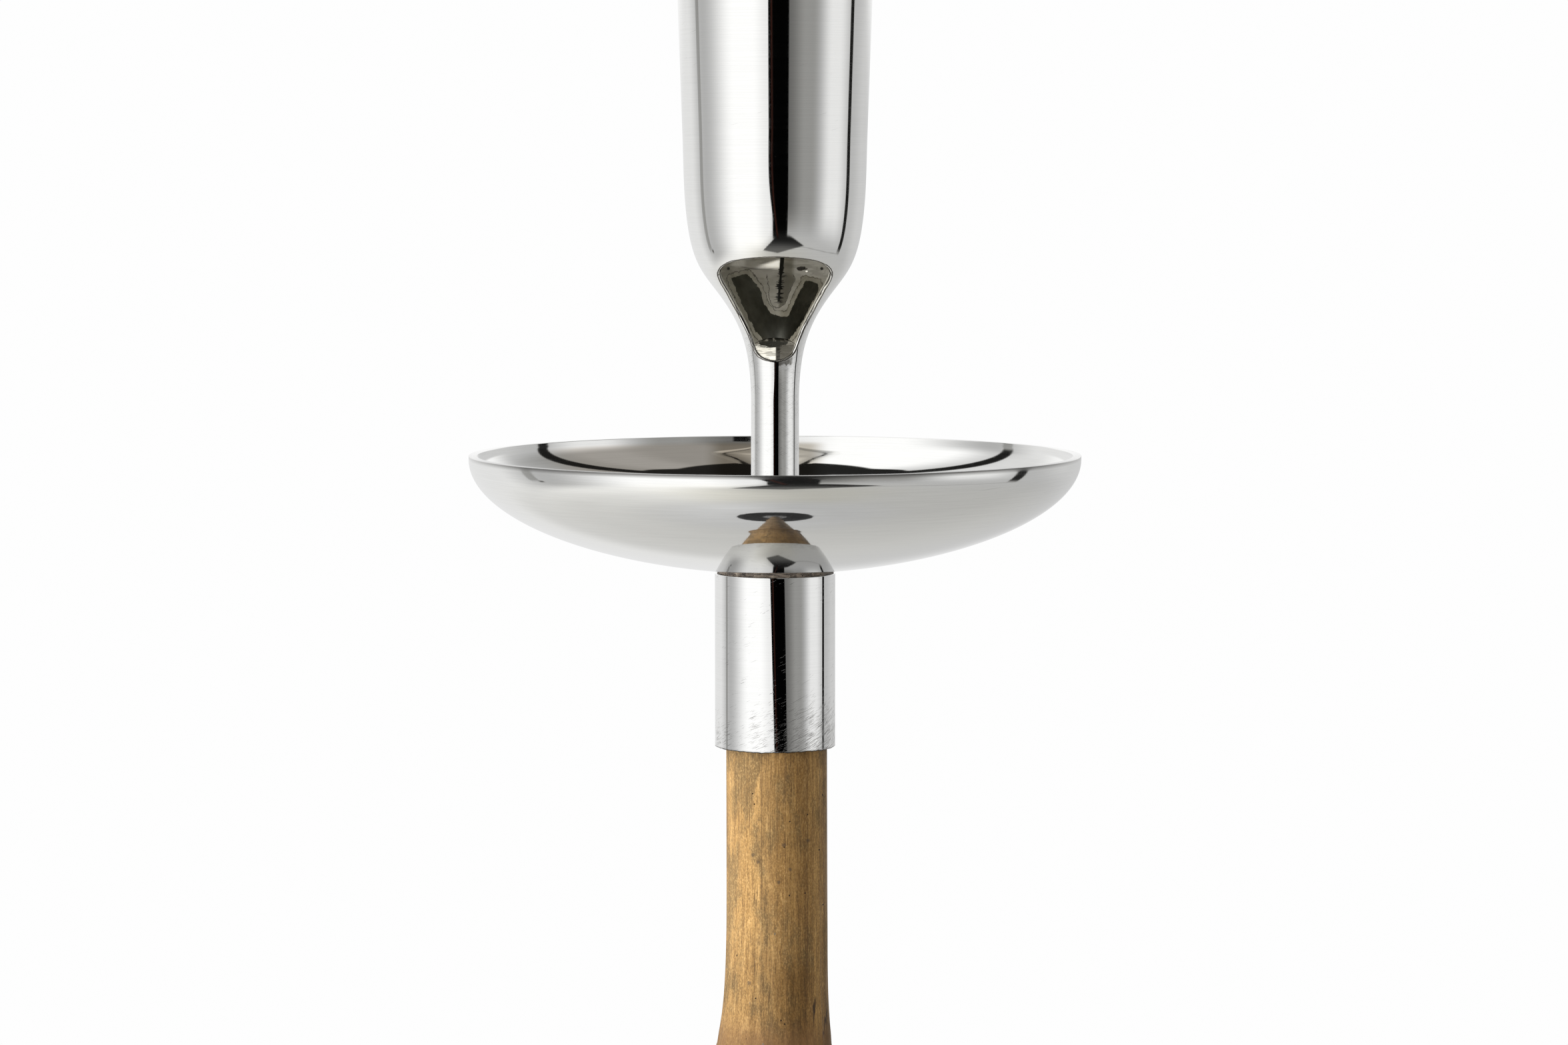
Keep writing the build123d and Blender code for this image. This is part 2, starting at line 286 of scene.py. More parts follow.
funnel_step = shoulder_radius - stem_radius
funnel_rise = shoulder_height - neck_height
cup_outer = [(stem_radius, neck)]
cup_outer += [(stem_radius + across * funnel_step, neck + up * funnel_rise) for across, up in funnel_shape]
cup_outer += [(shoulder_radius, pan_rim + shoulder_height), (cup_side_radius, pan_rim + cup_side_height)]
flare = np.array([cup_rim_radius - cup_side_radius, cup_rim_height - cup_side_height])
flare = flare / np.linalg.norm(flare)
funnel_time = np.linalg.norm(np.diff(np.array(cup_outer), axis=0), axis=1).sum()
side_time = np.hypot(cup_rim_radius - cup_side_radius, cup_rim_height - cup_side_height)
lip_radius = cup_wall / 2


def cup_line(times):
    """Places and outward normals of the cup's outer line, from the neck along the funnel and up the
    straight side."""
    times = np.asarray(times, float)
    places, directions = smooth_line(cup_outer, (0, 1), flare, np.minimum(times, funnel_time))
    beyond = np.maximum(times - funnel_time, 0)[:, None]
    return places + beyond * flare, right_of(directions)


window_columns = 128
window_levels = 64
window_rings = 26
patch_low, patch_high = 4.0, 52.0
patch_middle = (patch_low + patch_high) / 2
patch_half_angle = np.pi / 2
rim_steps = 13
# how far the lip's top stays below the rim's height
lip_gap = 0.03


def cup_surface(angles, times, inset=0.0):
    """Points and normals of the cup's wall at angles round the axis from the front, and times up the
    outer line."""
    places, across = cup_line(times.ravel())
    places = places - inset * across
    angles = angles.ravel()
    radial = np.stack([np.sin(angles), -np.cos(angles)], 1)
    points = np.concatenate([places[:, :1] * radial, places[:, 1:]], 1)
    normals = np.concatenate([across[:, :1] * radial, across[:, 1:]], 1)
    return points, normals


def window_edge(headings):
    """Angle and time of the window's outline met by rays that leave its middle at the given headings."""
    tip = pan_rim + window_tip_height
    side = [(0, tip)] + [
        (across * window_half_width, tip + up * window_height) for across, up in window_shape
    ]
    side += [(0, tip + window_height)]
    half, _ = smooth_line(side, (1, 0), (-1, 0), steps=400)
    outline = np.concatenate([half, (half * (-1, 1))[::-1][1:-1]])
    times = np.linspace(0, funnel_time, 2000)
    places, _ = cup_line(times)
    time = np.interp(outline[:, 1], places[:, 1], times)
    radius = np.interp(time, times, places[:, 0])
    angle = np.arcsin(np.clip(outline[:, 0] / radius, -1, 1))
    offset = np.stack([angle / patch_half_angle, (time - patch_middle) / (patch_high - patch_low) * 2], 1)
    heading, reach = np.arctan2(offset[:, 1], offset[:, 0]), np.linalg.norm(offset, axis=1)
    order = np.argsort(heading)
    heading, reach = heading[order], reach[order]
    heading = np.concatenate([heading[-3:] - 2 * np.pi, heading, heading[:3] + 2 * np.pi])
    reach = np.concatenate([reach[-3:], reach, reach[:3]])
    met = np.interp(headings, heading, reach)
    across = met * np.cos(headings) * patch_half_angle
    return np.stack([across, patch_middle + met * np.sin(headings) * (patch_high - patch_low) / 2], 1)


# the part of the inner wall that shows behind the window, and the depth written where there is no film
film_front = -6.0
film_top = 56.0
no_film = -9.0

# the clean dark patch in the wax film on the cup's inner back wall, and the ring inside the film's tongue:
# millimetres across and above the pan's rim
clean_patch = (
    (-11.0, 44.5), (-9.5, 41.0), (-7.0, 35.5), (-4.5, 31.0), (-2.0, 28.5), (1.5, 28.0), (3.0, 29.0),
    (6.0, 32.5), (8.5, 37.5), (11.0, 41.5), (10.5, 43.5), (7.5, 44.0), (7.0, 42.5), (5.5, 40.0),
    (4.0, 36.5), (3.0, 35.0), (-0.5, 35.5), (-2.5, 37.5), (-4.0, 42.0), (-6.0, 44.5), (-7.0, 45.5),
    (-9.5, 45.0),
)
tongue_ring = (
    (-2.0, 46.5), (-2.0, 44.5), (-1.5, 42.0), (-1.5, 39.5), (-0.5, 37.5), (0.5, 37.0), (2.5, 38.0),
    (3.5, 41.0), (5.0, 44.0), (4.0, 46.5),
)


def depth_inside(points, corners):
    """Distance of flat points from a closed outline's nearest side, positive inside it and negative
    outside."""
    start = np.asarray(corners, float)
    run = np.roll(start, -1, 0) - start
    offset = points[:, None, :] - start
    share = np.clip((offset * run).sum(-1) / (run**2).sum(-1), 0, 1)
    distance = np.linalg.norm(offset - share[..., None] * run, axis=-1).min(1)
    up = (offset[..., 1] >= 0) != (offset[..., 1] - run[:, 1] >= 0)
    level = np.where(run[:, 1] == 0, 1.0, run[:, 1])
    crossed = up & (offset[..., 0] < run[:, 0] * offset[..., 1] / level)
    return np.where(crossed.sum(1) % 2 == 1, distance, -distance)


def edge_profile():
    """The window's edge across the wall, worn to a flattened half round. Gives (bulge into the opening,
    depth below the outside) and the matching normals."""
    turn = np.radians(np.linspace(0, 180, 17))
    across = np.stack([np.sin(turn) / edge_fullness, np.cos(turn)], 1)
    line = cup_wall / 2 * np.stack([edge_fullness * np.sin(turn), 1 - np.cos(turn)], 1)
    return line, across / np.linalg.norm(across, axis=1)[:, None]


def make_cup():
    """The swaged cup: an outer and an inner wall on one layout of points, joined by a round rim and a
    round window edge. Round the window the points lie on rings that pass from its outline to a rectangle
    of the regular layout."""
    columns = 2 * window_columns
    levels = np.linspace(patch_low, patch_high, window_levels + 1)
    low = np.linspace(0, patch_low, 5)
    lip_time = funnel_time + side_time - lip_radius - lip_gap
    high = np.concatenate(
        [np.linspace(patch_high, funnel_time, 24)[:-1], np.linspace(funnel_time, lip_time, 30)]
    )
    front = np.linspace(-patch_half_angle, patch_half_angle, window_columns + 1)
    behind = np.linspace(patch_half_angle, 2 * np.pi - patch_half_angle, window_columns + 1)
    around = np.concatenate([front[:-1], behind[:-1]])

    right = np.stack([np.full(window_levels, front[-1]), levels[:-1]], 1)
    top = np.stack([front[:0:-1], np.full(window_columns, levels[-1])], 1)
    left = np.stack([np.full(window_levels, front[0]), levels[:0:-1]], 1)
    bottom = np.stack([front[:-1], np.full(window_columns, levels[0])], 1)
    border = np.concatenate([right, top, left, bottom])
    upward = (border[:, 1] - patch_middle) / (patch_high - patch_low) * 2
    headings = np.arctan2(upward, border[:, 0] / patch_half_angle)
    edge = window_edge(headings)
    share = (np.linspace(0, 1, window_rings) ** 1.6)[:, None, None]
    rings = edge + share * (border - edge)

    parts = []
    for inset, outward in ((0.0, True), (cup_wall, False)):
        for angles, times, closed in ((around, low, True), (around, high, True), (behind, levels, False)):
            angle_grid, time_grid = np.meshgrid(angles, times)
            points, normals = cup_surface(angle_grid, time_grid, inset)
            faces = grid_faces(len(times), len(angles), closed)
            side = (normals, faces) if outward else (-normals, faces[:, ::-1])
            parts.append((points, *side, time_grid.ravel(), float(not outward)))
        points, normals = cup_surface(rings[..., 0], rings[..., 1], inset)
        faces = grid_faces(window_rings, len(border))
        side = (normals, faces[:, ::-1]) if outward else (-normals, faces)
        parts.append((points, *side, rings[..., 1].ravel(), float(not outward)))

    outer_edge, outward = cup_surface(edge[:, 0], edge[:, 1])
    along = np.roll(outer_edge, -1, 0) - np.roll(outer_edge, 1, 0)
    inward = np.cross(outward, along)
    inward /= np.linalg.norm(inward, axis=1)[:, None]
    profile, profile_across = edge_profile()
    rim_points = outer_edge - outward * profile[:, 1, None, None] + inward * profile[:, 0, None, None]
    rim_normals = outward * profile_across[:, 1, None, None] + inward * profile_across[:, 0, None, None]
    share = np.linspace(0, 1, len(profile))[:, None]
    parts.append((rim_points, rim_normals, grid_faces(len(profile), len(edge)), edge[:, 1], share))

    last = np.array([high[-1]])
    place, across = cup_line(last)
    lip_angles = np.linspace(0, np.pi, rim_steps)
    lip_out = across[0] * np.cos(lip_angles)[:, None] + flare * np.sin(lip_angles)[:, None]
    lip = place[0] - across[0] * lip_radius + lip_radius * lip_out
    radial = np.stack([np.sin(around), -np.cos(around)], 1)
    lip_points = np.concatenate([lip[:, None, :1] * radial, np.repeat(lip[:, None, 1:], columns, 1)], -1)
    lip_normals = np.concatenate(
        [lip_out[:, None, :1] * radial, np.repeat(lip_out[:, None, 1:], columns, 1)], -1
    )
    lip_share = np.linspace(0, 1, rim_steps)[:, None]
    parts.append((lip_points, lip_normals, grid_faces(rim_steps, columns), last[0], lip_share))

    first_out, _ = cup_surface(around, np.zeros(columns))
    first_in, _ = cup_surface(around, np.zeros(columns), cup_wall)
    foot = np.stack([first_in, first_out])
    parts.append((foot, np.tile([0.0, 0.0, -1.0], (2 * columns, 1)), grid_faces(2, columns), 0.0, 0.0))
    points, normals, faces, values = welded(parts)
    flat = np.stack([points[:, 0], points[:, 2] - pan_rim], 1)
    inside = (values["inner"] > 0.99) & (points[:, 1] > film_front)
    behind_window = inside & (points[:, 2] < pan_rim + film_top)
    for label, outline in (("patch", clean_patch), ("ring", tongue_ring)):
        values[label] = np.where(behind_window, depth_inside(flat, outline), no_film)
    return make_piece("cup_swaged", "head", points, faces, normals, ["cup_shell"], "polished_steel", **values)


# ---------------------------------------------------------------- stem with the wax floor

stem_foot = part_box("stem_rod")[0].z / MM
floor_slope = math.tan(math.radians(22.0))
floor_front = stem_radius
floor_hollow = 0.5
spigot_gap = 0.03


def wax_floor_height(x, y):
    """Height of the wax floor: a plane that rises from the window's tip to the back, hollowed up a little
    at the walls."""
    reach = np.minimum(np.hypot(x, y) / floor_front, 1.2)
    plane = pan_rim + window_tip_height - 0.15 + floor_slope * (y + floor_front)
    return plane + floor_hollow * reach**4 * (y > 0)


def make_stem():
    """The stem rod, with a spigot in the cup's neck that ends in the sloped wax floor."""
    columns = 192
    around = np.linspace(0, 2 * np.pi, columns, endpoint=False)
    radial = np.stack([np.sin(around), -np.cos(around)], 1)
    times = np.linspace(0, funnel_time, 1500)
    places, across = cup_line(times)
    inner = places - (cup_wall + spigot_gap) * across
    line, normals = edged_line([(0, stem_foot), (stem_radius, stem_foot), (stem_radius, neck)], 0.15)
    heights = np.concatenate([line[:, 1], [neck]])
    radii = np.concatenate([line[:, 0], [inner[0, 0]]])
    out = np.concatenate([normals[:, 0], [0.0]])
    up = np.concatenate([normals[:, 1], [1.0]])
    body_points = np.concatenate(
        [radii[:, None, None] * radial, np.repeat(heights[:, None, None], columns, 1)], -1
    )
    body_normals = np.concatenate([out[:, None, None] * radial, np.repeat(up[:, None, None], columns, 1)], -1)
    parts = [(body_points, body_normals, grid_faces(len(radii), columns), heights[:, None] - stem_foot, 0.0)]

    radius = np.full(columns, floor_front)
    for _ in range(12):
        height = wax_floor_height(radius * radial[:, 0], radius * radial[:, 1])
        radius = np.interp(height, inner[:, 1], inner[:, 0])
    share = np.linspace(0, 1, 14)[:, None]
    side_height = neck + share * (height - neck)
    side_radius = np.interp(side_height, inner[:, 1], inner[:, 0])
    side = np.concatenate([side_radius[..., None] * radial, side_height[..., None]], -1)
    side_normals = np.broadcast_to(np.concatenate([radial, np.zeros((columns, 1))], 1), side.shape)
    parts.append((side, side_normals, grid_faces(len(share), columns), 0.0, 1.0))

    share = np.linspace(1, 0, 26)[:, None]
    x, y = share * radius * radial[:, 0], share * radius * radial[:, 1]
    tiny = 1e-3
    slope_x = (wax_floor_height(x + tiny, y) - wax_floor_height(x - tiny, y)) / (2 * tiny)
    slope_y = (wax_floor_height(x, y + tiny) - wax_floor_height(x, y - tiny)) / (2 * tiny)
    floor = np.stack([x, y, wax_floor_height(x, y)], -1)
    floor_normals = np.stack([-slope_x, -slope_y, np.ones_like(x)], -1)
    floor_normals /= np.linalg.norm(floor_normals, axis=-1)[..., None]
    parts.append((floor, floor_normals, grid_faces(len(share), columns), share * radius, 1.0))
    points, normals, faces, values = welded(parts)
    return make_piece("stem_turned", "head", points, faces, normals, ["stem_rod"], "polished_steel", **values)


# ---------------------------------------------------------------- ferrule and washer

# the ferrule's front is a little flattened: width of the flat in radians, the shares of the angle and of the
# height by which its normals turn, and the share of the height from its top where they stay
flat_width = 0.42
turn_by_angle = 0.13
turn_by_height = 0.052
unturned_share = 0.15
# how far the ferrule's top and the washer's underside sit above the solids, so that the washer looks thin
washer_rise = 0.35
ferrule_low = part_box("head_ferrule")[0].z / MM
ferrule_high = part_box("head_ferrule")[1].z / MM + washer_rise
ferrule_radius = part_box("head_ferrule")[1].x / MM
ferrule_wall = 2.0
ferrule_levels = 24


def wander(angles, seed, waves=24, roughness=0.8):
    """A closed random line round the axis: waves of rising number and falling height, about one high."""
    draw = np.random.default_rng(seed)
    number = np.arange(1, waves + 1)
    height = draw.normal(size=waves) / number**roughness
    start = draw.uniform(0, 2 * np.pi, waves)
    total = (height * np.cos(np.multiply.outer(angles, number) + start)).sum(-1)
    return total / np.sqrt((height**2).sum() / 2)


def make_ferrule():
    """The tube ferrule: a crisp top edge, and a lower edge left as the saw cut it, so its height wanders
    a little. Its front normals are turned by a share of their own angle and of the height, over a bell
    about the front."""
    columns = 384
    angles = np.linspace(0, 2 * np.pi, columns, endpoint=False)
    bore = ferrule_radius - ferrule_wall
    corners = [
        (bore, ferrule_high),
        (bore, ferrule_low),
        (ferrule_radius, ferrule_low),
        (ferrule_radius, ferrule_high),
        (bore, ferrule_high),
    ]
    line, across = edged_line(corners, 0.16, 6)
    extra = np.linspace(ferrule_low + 0.6, ferrule_high - 0.6, ferrule_levels)
    split = np.flatnonzero((line[:, 0] > ferrule_radius - 1e-6) & (line[:, 1] > ferrule_high - 1))[0]
    side = np.stack([np.full(ferrule_levels, ferrule_radius), extra], 1)
    line = np.concatenate([line[:split], side, line[split:]])
    across = np.concatenate([across[:split], np.tile([1.0, 0.0], (ferrule_levels, 1)), across[split:]])
    points, normals, faces = turned(line, across, columns)
    cut = 0.05 * wander(angles, 11, 60, 0.25) + 0.05 * wander(angles, 12, 6)
    near = np.clip((ferrule_low + 0.55 - line[:, 1]) / 0.5, 0, 1)[:, None]
    points[..., 2] += near * cut
    facing = np.arctan2(normals[..., 0], -normals[..., 1])
    flat = np.exp(-((facing / flat_width) ** 2)) * (np.abs(normals[..., 2]) < 0.01)
    low_share = np.clip((ferrule_high - points[..., 2]) / (ferrule_high - ferrule_low), 0, 1)
    turn = flat * (turn_by_angle * facing + turn_by_height * (low_share - unturned_share))
    cos, sin = np.cos(turn), np.sin(turn)
    normal_x, normal_y = normals[..., 0].copy(), normals[..., 1].copy()
    normals[..., 0] = cos * normal_x + sin * normal_y
    normals[..., 1] = cos * normal_y - sin * normal_x
    points, normals, faces, values = welded([(points, normals, faces, line[:, 1:] - ferrule_low, 0.0)])
    return make_piece(
        "ferrule_tube_cut", "pole", points, faces, normals, ["head_ferrule"], "polished_steel", **values
    )


washer_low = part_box("pan_washer")[0].z / MM
washer_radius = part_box("pan_washer")[1].x / MM


def make_washer():
    """The fibre washer: a cut disc whose edge is ragged in and out, and whose top follows the pan's
    underside."""
    columns = 320
    angles = np.linspace(0, 2 * np.pi, columns, endpoint=False)
    outward = np.concatenate([np.linspace(0.3, 0.95, 8), np.linspace(0.96, 1, 6)])
    share = np.concatenate([outward, np.ones(6), outward[::-1]])
    under, _ = pan_face(0)
    top = np.interp(share * washer_radius, under[:, 0], under[:, 1]) - 0.05
    rise = np.concatenate([np.zeros(14), np.linspace(0.1, 0.9, 6), np.ones(14)])
    height = washer_low + washer_rise + rise * (top - washer_low - washer_rise)
    ragged = 0.12 * wander(angles, 21, 70, 0.15) + 0.1 * wander(angles, 22, 9)
    edge_share = np.clip((share - 0.9) / 0.1, 0, 1)[:, None]
    layers = 0.06 * np.stack([wander(angles, 30 + index, 50, 0.1) for index in range(len(share))])
    radius = share[:, None] * washer_radius + edge_share * (ragged - 0.25)
    radius = np.minimum(radius + layers * (share > 0.97)[:, None], washer_radius)
    points = np.stack(
        [radius * np.cos(angles), radius * np.sin(angles), np.repeat(height[:, None], columns, 1)], -1
    )
    column, last = np.arange(columns), (len(share) - 1) * columns
    right = (column + 1) % columns
    closing = np.stack([last + column, last + right, right, column], 1)
    faces = np.concatenate([grid_faces(len(share), columns), closing])
    return make_piece(
        "washer_ragged", "rising_washer", points.reshape(-1, 3), faces, None, ["pan_washer"], "washer_fibre"
    )


# ---------------------------------------------------------------- bamboo pole

culm_low, culm_high = (corner.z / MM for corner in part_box("bamboo_pole"))
culm_top_radius = 12.7
culm_middle_radius = 11.9
culm_foot_radius = 12.2
culm_bore_radius = 6.5
node_heights = (321.5, 630.5, 936.9)
# pinholes and small scuffs on the front of the top internode: millimetres across and up
skin_pinholes = (
    (-5.5, 1003.4), (-5.1, 1000.8), (3.7, 996.6), (2.3, 990.2), (7.5, 978.4), (12.0, 974.6),
    (3.6, 978.1), (8.1, 998.0), (-4.8, 952.2), (11.0, 988.7), (1.5, 946.9), (2.4, 946.0),
)
skin_scuffs = (
    (2.2, 990.8), (-6.4, 955.8), (-5.5, 988.1), (3.8, 984.6), (0.9, 981.5), (8.2, 991.5),
    (-4.2, 986.4),
)
ring_radius = 15.95
# the culm's slow bend to the right: millimetres at each height
bend_heights = (culm_low, 300, 900, 945, 968, culm_high)
bend = (0, 0, 0.15, 0.35, 0.5, 0.3)
# the most that the skin may reach at a distance from a node
reach_from_node = (16, 22, 45)
reach = (ring_radius, 13.2, culm_top_radius)


def culm_radius(heights, angles):
    """Radius of the culm's skin over heights and angles. Between nodes it is the internode's own radius
    with a slow wander. Above a node it flares as exp(-rise / 9), and just below one it swells as
    exp(-drop / 4). The node has two ridges: its own and, under a groove, the sharp scar of the fallen
    sheath. A bud sits over each node, with a shallow groove above it."""
    level = heights[:, None]
    height = level + 0.9 * np.sin(angles + 0.6) * np.exp(-np.abs(level - node_heights[2]) / 40)
    middle = culm_middle_radius - 0.2
    plain = [culm_foot_radius - 0.2, middle, middle, culm_top_radius - 0.04]
    radius = np.full(np.broadcast(height, angles).shape, plain[0])
    for index, node in enumerate(node_heights):
        step = 1 / (1 + np.exp(-(height - node) / 1.5))
        radius = radius + (plain[index + 1] - plain[index]) * step
        rise = height - node
        lean = 1 + (0.12, 0.12, 0.24)[index] * np.cos(angles - np.pi + (0.3, 2.4, 0.0)[index])
        flared = 2.45 * lean * np.exp(-np.maximum(rise, 0) / 9.0) * step
        swollen = 1.5 * lean * np.exp(-np.maximum(-rise, 0) / 4.0) * (1 - step)
        ridge = 0.75 * np.exp(-((rise + 0.2) / 1.3) ** 2)
        scar = 0.95 * np.exp(-((rise + 5.2) / 0.55) ** 2)
        hollow = 0.35 * np.exp(-((rise + 3.6) / 1.0) ** 2)
        radius = radius + flared + swollen + ridge + scar - hollow
        side = np.angle(np.exp(1j * (angles - (1.9 + np.pi * index))))
        bud = np.exp(-((rise - 5.5) / 4.5) ** 2 - (side / 0.22) ** 2)
        groove = np.exp(-((rise - 30) / 40) ** 2 - (side / 0.3) ** 2) * (rise > 0)
        groove = groove * np.exp(-np.maximum(rise - 6, 0) / 60)
        radius = radius + 0.9 * bud - 0.9 * groove
    slow = 0.1 * np.sin(2 * angles + 0.7 + level / 300) + 0.06 * np.sin(3 * angles + level / 150)
    fine = 0.035 * wander(angles, 51, 90, 0.1) * np.sin(level / 60 + 2) + 0.03 * wander(angles, 52, 120, 0.1)
    from_node = np.abs(level - np.array(node_heights)).min(1, keepdims=True)
    limit = np.interp(from_node, reach_from_node, reach)
    return np.minimum(radius + slow + fine, limit)


def make_bamboo():
    """The culm from foot to top on a grid of heights and angles, closed by its bored ends and its bore."""
    columns = 224
    angles = np.linspace(0, 2 * np.pi, columns, endpoint=False)
    heights = [np.linspace(culm_low, culm_high, 90)]
    for node in node_heights:
        heights.append(
            node + np.concatenate([np.linspace(-16, -7, 8), np.linspace(-7, 2, 46), np.linspace(2, 40, 26)])
        )
    heights = np.unique(np.round(np.concatenate(heights), 2))
    radius = culm_radius(heights, angles[None, :])
    skin = np.stack(
        [radius * np.cos(angles), radius * np.sin(angles), np.repeat(heights[:, None], columns, 1)], -1
    )
    skin[..., 0] += np.interp(heights, bend_heights, bend)[:, None]
    bore = np.array([[culm_bore_radius, culm_high], [culm_bore_radius, culm_low]])
    bore = np.stack(
        [bore[:, :1] * np.cos(angles), bore[:, :1] * np.sin(angles), np.repeat(bore[:, 1:], columns, 1)], -1
    )
    points = np.concatenate([skin, bore, skin[:1]])
    faces = grid_faces(len(points), columns)
    normals = np.zeros_like(points)
    points, _, faces, _ = welded([(points, normals, faces, 0.0, 0.0)])
    return make_piece("bamboo_culm", "pole", points, faces, None, ["bamboo_pole"], "bamboo")


# ---------------------------------------------------------------- socket, foot ferrule, base


def make_turned(name, body, corners, edge, slot, replaces, columns=224):
    """A closed turned piece: the outline through the corners, rounded by an edge radius, carried round
    the axis."""
    line, across = edged_line(corners, edge)
    points, normals, faces, values = welded(
        [(*turned(line, across, columns), length_along(line)[:, None], 0.0)]
    )
    return make_piece(name, body, points, faces, normals, replaces, slot, **values)


socket_low, socket_high = (corner.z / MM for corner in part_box("socket_tube"))
socket_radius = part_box("socket_tube")[1].x / MM
socket_wall = 2.0
foot_low, foot_high = (corner.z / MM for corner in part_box("foot_ferrule"))
foot_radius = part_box("foot_ferrule")[1].x / MM
foot_wall = 1.6
plate_low, plate_high = (corner.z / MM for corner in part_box("base_plate"))
plate_radius = 142.5
felt_low, felt_high = (corner.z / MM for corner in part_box("base_felt"))
felt_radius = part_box("base_felt")[1].x / MM


def make_base_pieces():
    """The socket tube, the pole's foot ferrule, the base plate with its rounded rim, and the felt."""
    bore = socket_radius - socket_wall
    socket = [
        (bore, socket_low),
        (socket_radius, socket_low),
        (socket_radius, socket_high),
        (bore, socket_high),
        (bore, socket_low),
    ]
    foot_bore = foot_radius - foot_wall
    foot = [
        (foot_bore, foot_low),
        (foot_radius - 0.8, foot_low),
        (foot_radius, foot_low + 0.8),
        (foot_radius, foot_high),
        (foot_bore, foot_high),
        (foot_bore, foot_low),
    ]
    plate = [
        (0, plate_low),
        (plate_radius - 0.6, plate_low),
        (plate_radius, plate_low + 0.6),
        (plate_radius, plate_high),
        (0, plate_high),
    ]
    felt = [(0, felt_low), (felt_radius, felt_low), (felt_radius, felt_high), (0, felt_high)]
    return {
        "socket": make_turned("socket_tube_turned", "base", socket, 0.6, "socket_steel", ["socket_tube"]),
        "foot": make_turned("foot_ferrule_turned", "pole", foot, 1.1, "socket_steel", ["foot_ferrule"]),
        "plate": make_turned("base_plate_turned", "base", plate, 3.4, "black_plate", ["base_plate"], 384),
        "felt": make_turned("base_felt_cut", "base", felt, 0.7, "felt", ["base_felt"], 384),
    }


pan_piece = make_pan()
cup_piece = make_cup()
stem_piece = make_stem()
ferrule_piece = make_ferrule()
washer_piece = make_washer()
bamboo_piece = make_bamboo()
pan_piece.visible_glossy = False
base_pieces = make_base_pieces()

# ---------------------------------------------------------------- node helpers


class Net:
    """Adds nodes to one tree. Every input takes a number, a tuple or another node's output."""

    def __init__(self, tree):
        self.tree = tree
        tree.nodes.clear()

    def put(self, socket, value):
        """Links a node's output to the socket, or sets the socket's own value."""
        if isinstance(value, bpy.types.NodeSocket):
            self.tree.links.new(value, socket)
        else:
            socket.default_value = value

    def add(self, kind, *inputs, out=0, **settings):
        """One node with its first inputs filled in order, None leaving one as it is; returns one of its
        outputs."""
        node = self.tree.nodes.new("ShaderNode" + kind)
        for name, value in settings.items():
            setattr(node, name, value)
        for socket, value in zip(node.inputs, inputs):
            if value is not None:
                self.put(socket, value)
        return node.outputs[out]

    def math(self, operation, *values):
        """One math operation on the values."""
        return self.add("Math", *values, operation=operation)

    def plus(self, a, b):
        """The sum a + b."""
        return self.math("ADD", a, b)

    def minus(self, a, b):
        """The difference a - b."""
        return self.math("SUBTRACT", a, b)

    def times(self, a, b):
        """The product a * b."""
        return self.math("MULTIPLY", a, b)

    def rise(self, value, low, high, bottom=0.0, top=1.0):
        """Runs smoothly from bottom to top as the value goes from low to high; low above high runs it the
        other way."""
        return self.add("MapRange", value, low, high, bottom, top, interpolation_type="SMOOTHSTEP")

    def band(self, value, middle, half, soft):
        """One inside a band about the middle, and zero outside."""
        return self.rise(
            self.math("ABSOLUTE", self.minus(value, middle)), self.plus(half, soft), self.minus(half, soft)
        )

    def blend(self, share, a, b):
        """A number that goes from a to b."""
        return self.add("Mix", share, None, a, b, data_type="FLOAT")

    def walk(self, value, start, *steps):
        """A line that starts at one height and passes smoothly to each step's height between its two
        values."""
        line = start
        for low, high, height in steps:
            line = self.blend(self.rise(value, low, high), line, height)
        return line

    def tint(self, share, a, b, kind="MIX"):
        """A colour that goes from a to b."""
        node = self.tree.nodes.new("ShaderNodeMix")
        node.data_type, node.blend_type = "RGBA", kind
        for index, value in ((0, share), (6, a), (7, b)):
            self.put(node.inputs[index], value)
        return node.outputs[2]

    def stained(self, base, colour):
        """The base multiplied by a colour."""
        return self.tint(1.0, base, colour, "MULTIPLY")

    def length(self, a, b):
        """Length of the flat vector (a, b)."""
        return self.math("SQRT", self.plus(self.times(a, a), self.times(b, b)))

    def noise(self, place, scale=1.0, detail=2.0, rough=0.5, swirl=0.0):
        """Noise from 0 to 1, with about scale waves to each unit of the place."""
        return self.add("TexNoise", place, None, scale, detail, rough, None, None, None, swirl)

    def grain(self, place, factors, detail=2.0, rough=0.5, swirl=0.0):
        """Noise drawn out along the axes by its number of waves a metre on each."""
        return self.noise(self.scaled(place, factors), 1.0, detail, rough, swirl)

    def combine(self, x, y, z):
        """The vector (x, y, z)."""
        return self.add("CombineXYZ", x, y, z)

    def split(self, vector):
        """The vector's x, y and z."""
        node = self.tree.nodes.new("ShaderNodeSeparateXYZ")
        self.put(node.inputs[0], vector)
        return node.outputs[:3]

    def scaled(self, vector, factors):
        """The vector with each of its parts multiplied by its own factor."""
        return self.add("VectorMath", vector, factors, operation="MULTIPLY")

    def object_place(self):
        """The point in metres from the piece's own origin."""
        return self.add("TexCoord", out=3)

    def stored(self, label):
        """The number that the piece's mesh stores under this label."""
        return self.add("Attribute", out=2, attribute_name=label, attribute_type="GEOMETRY")


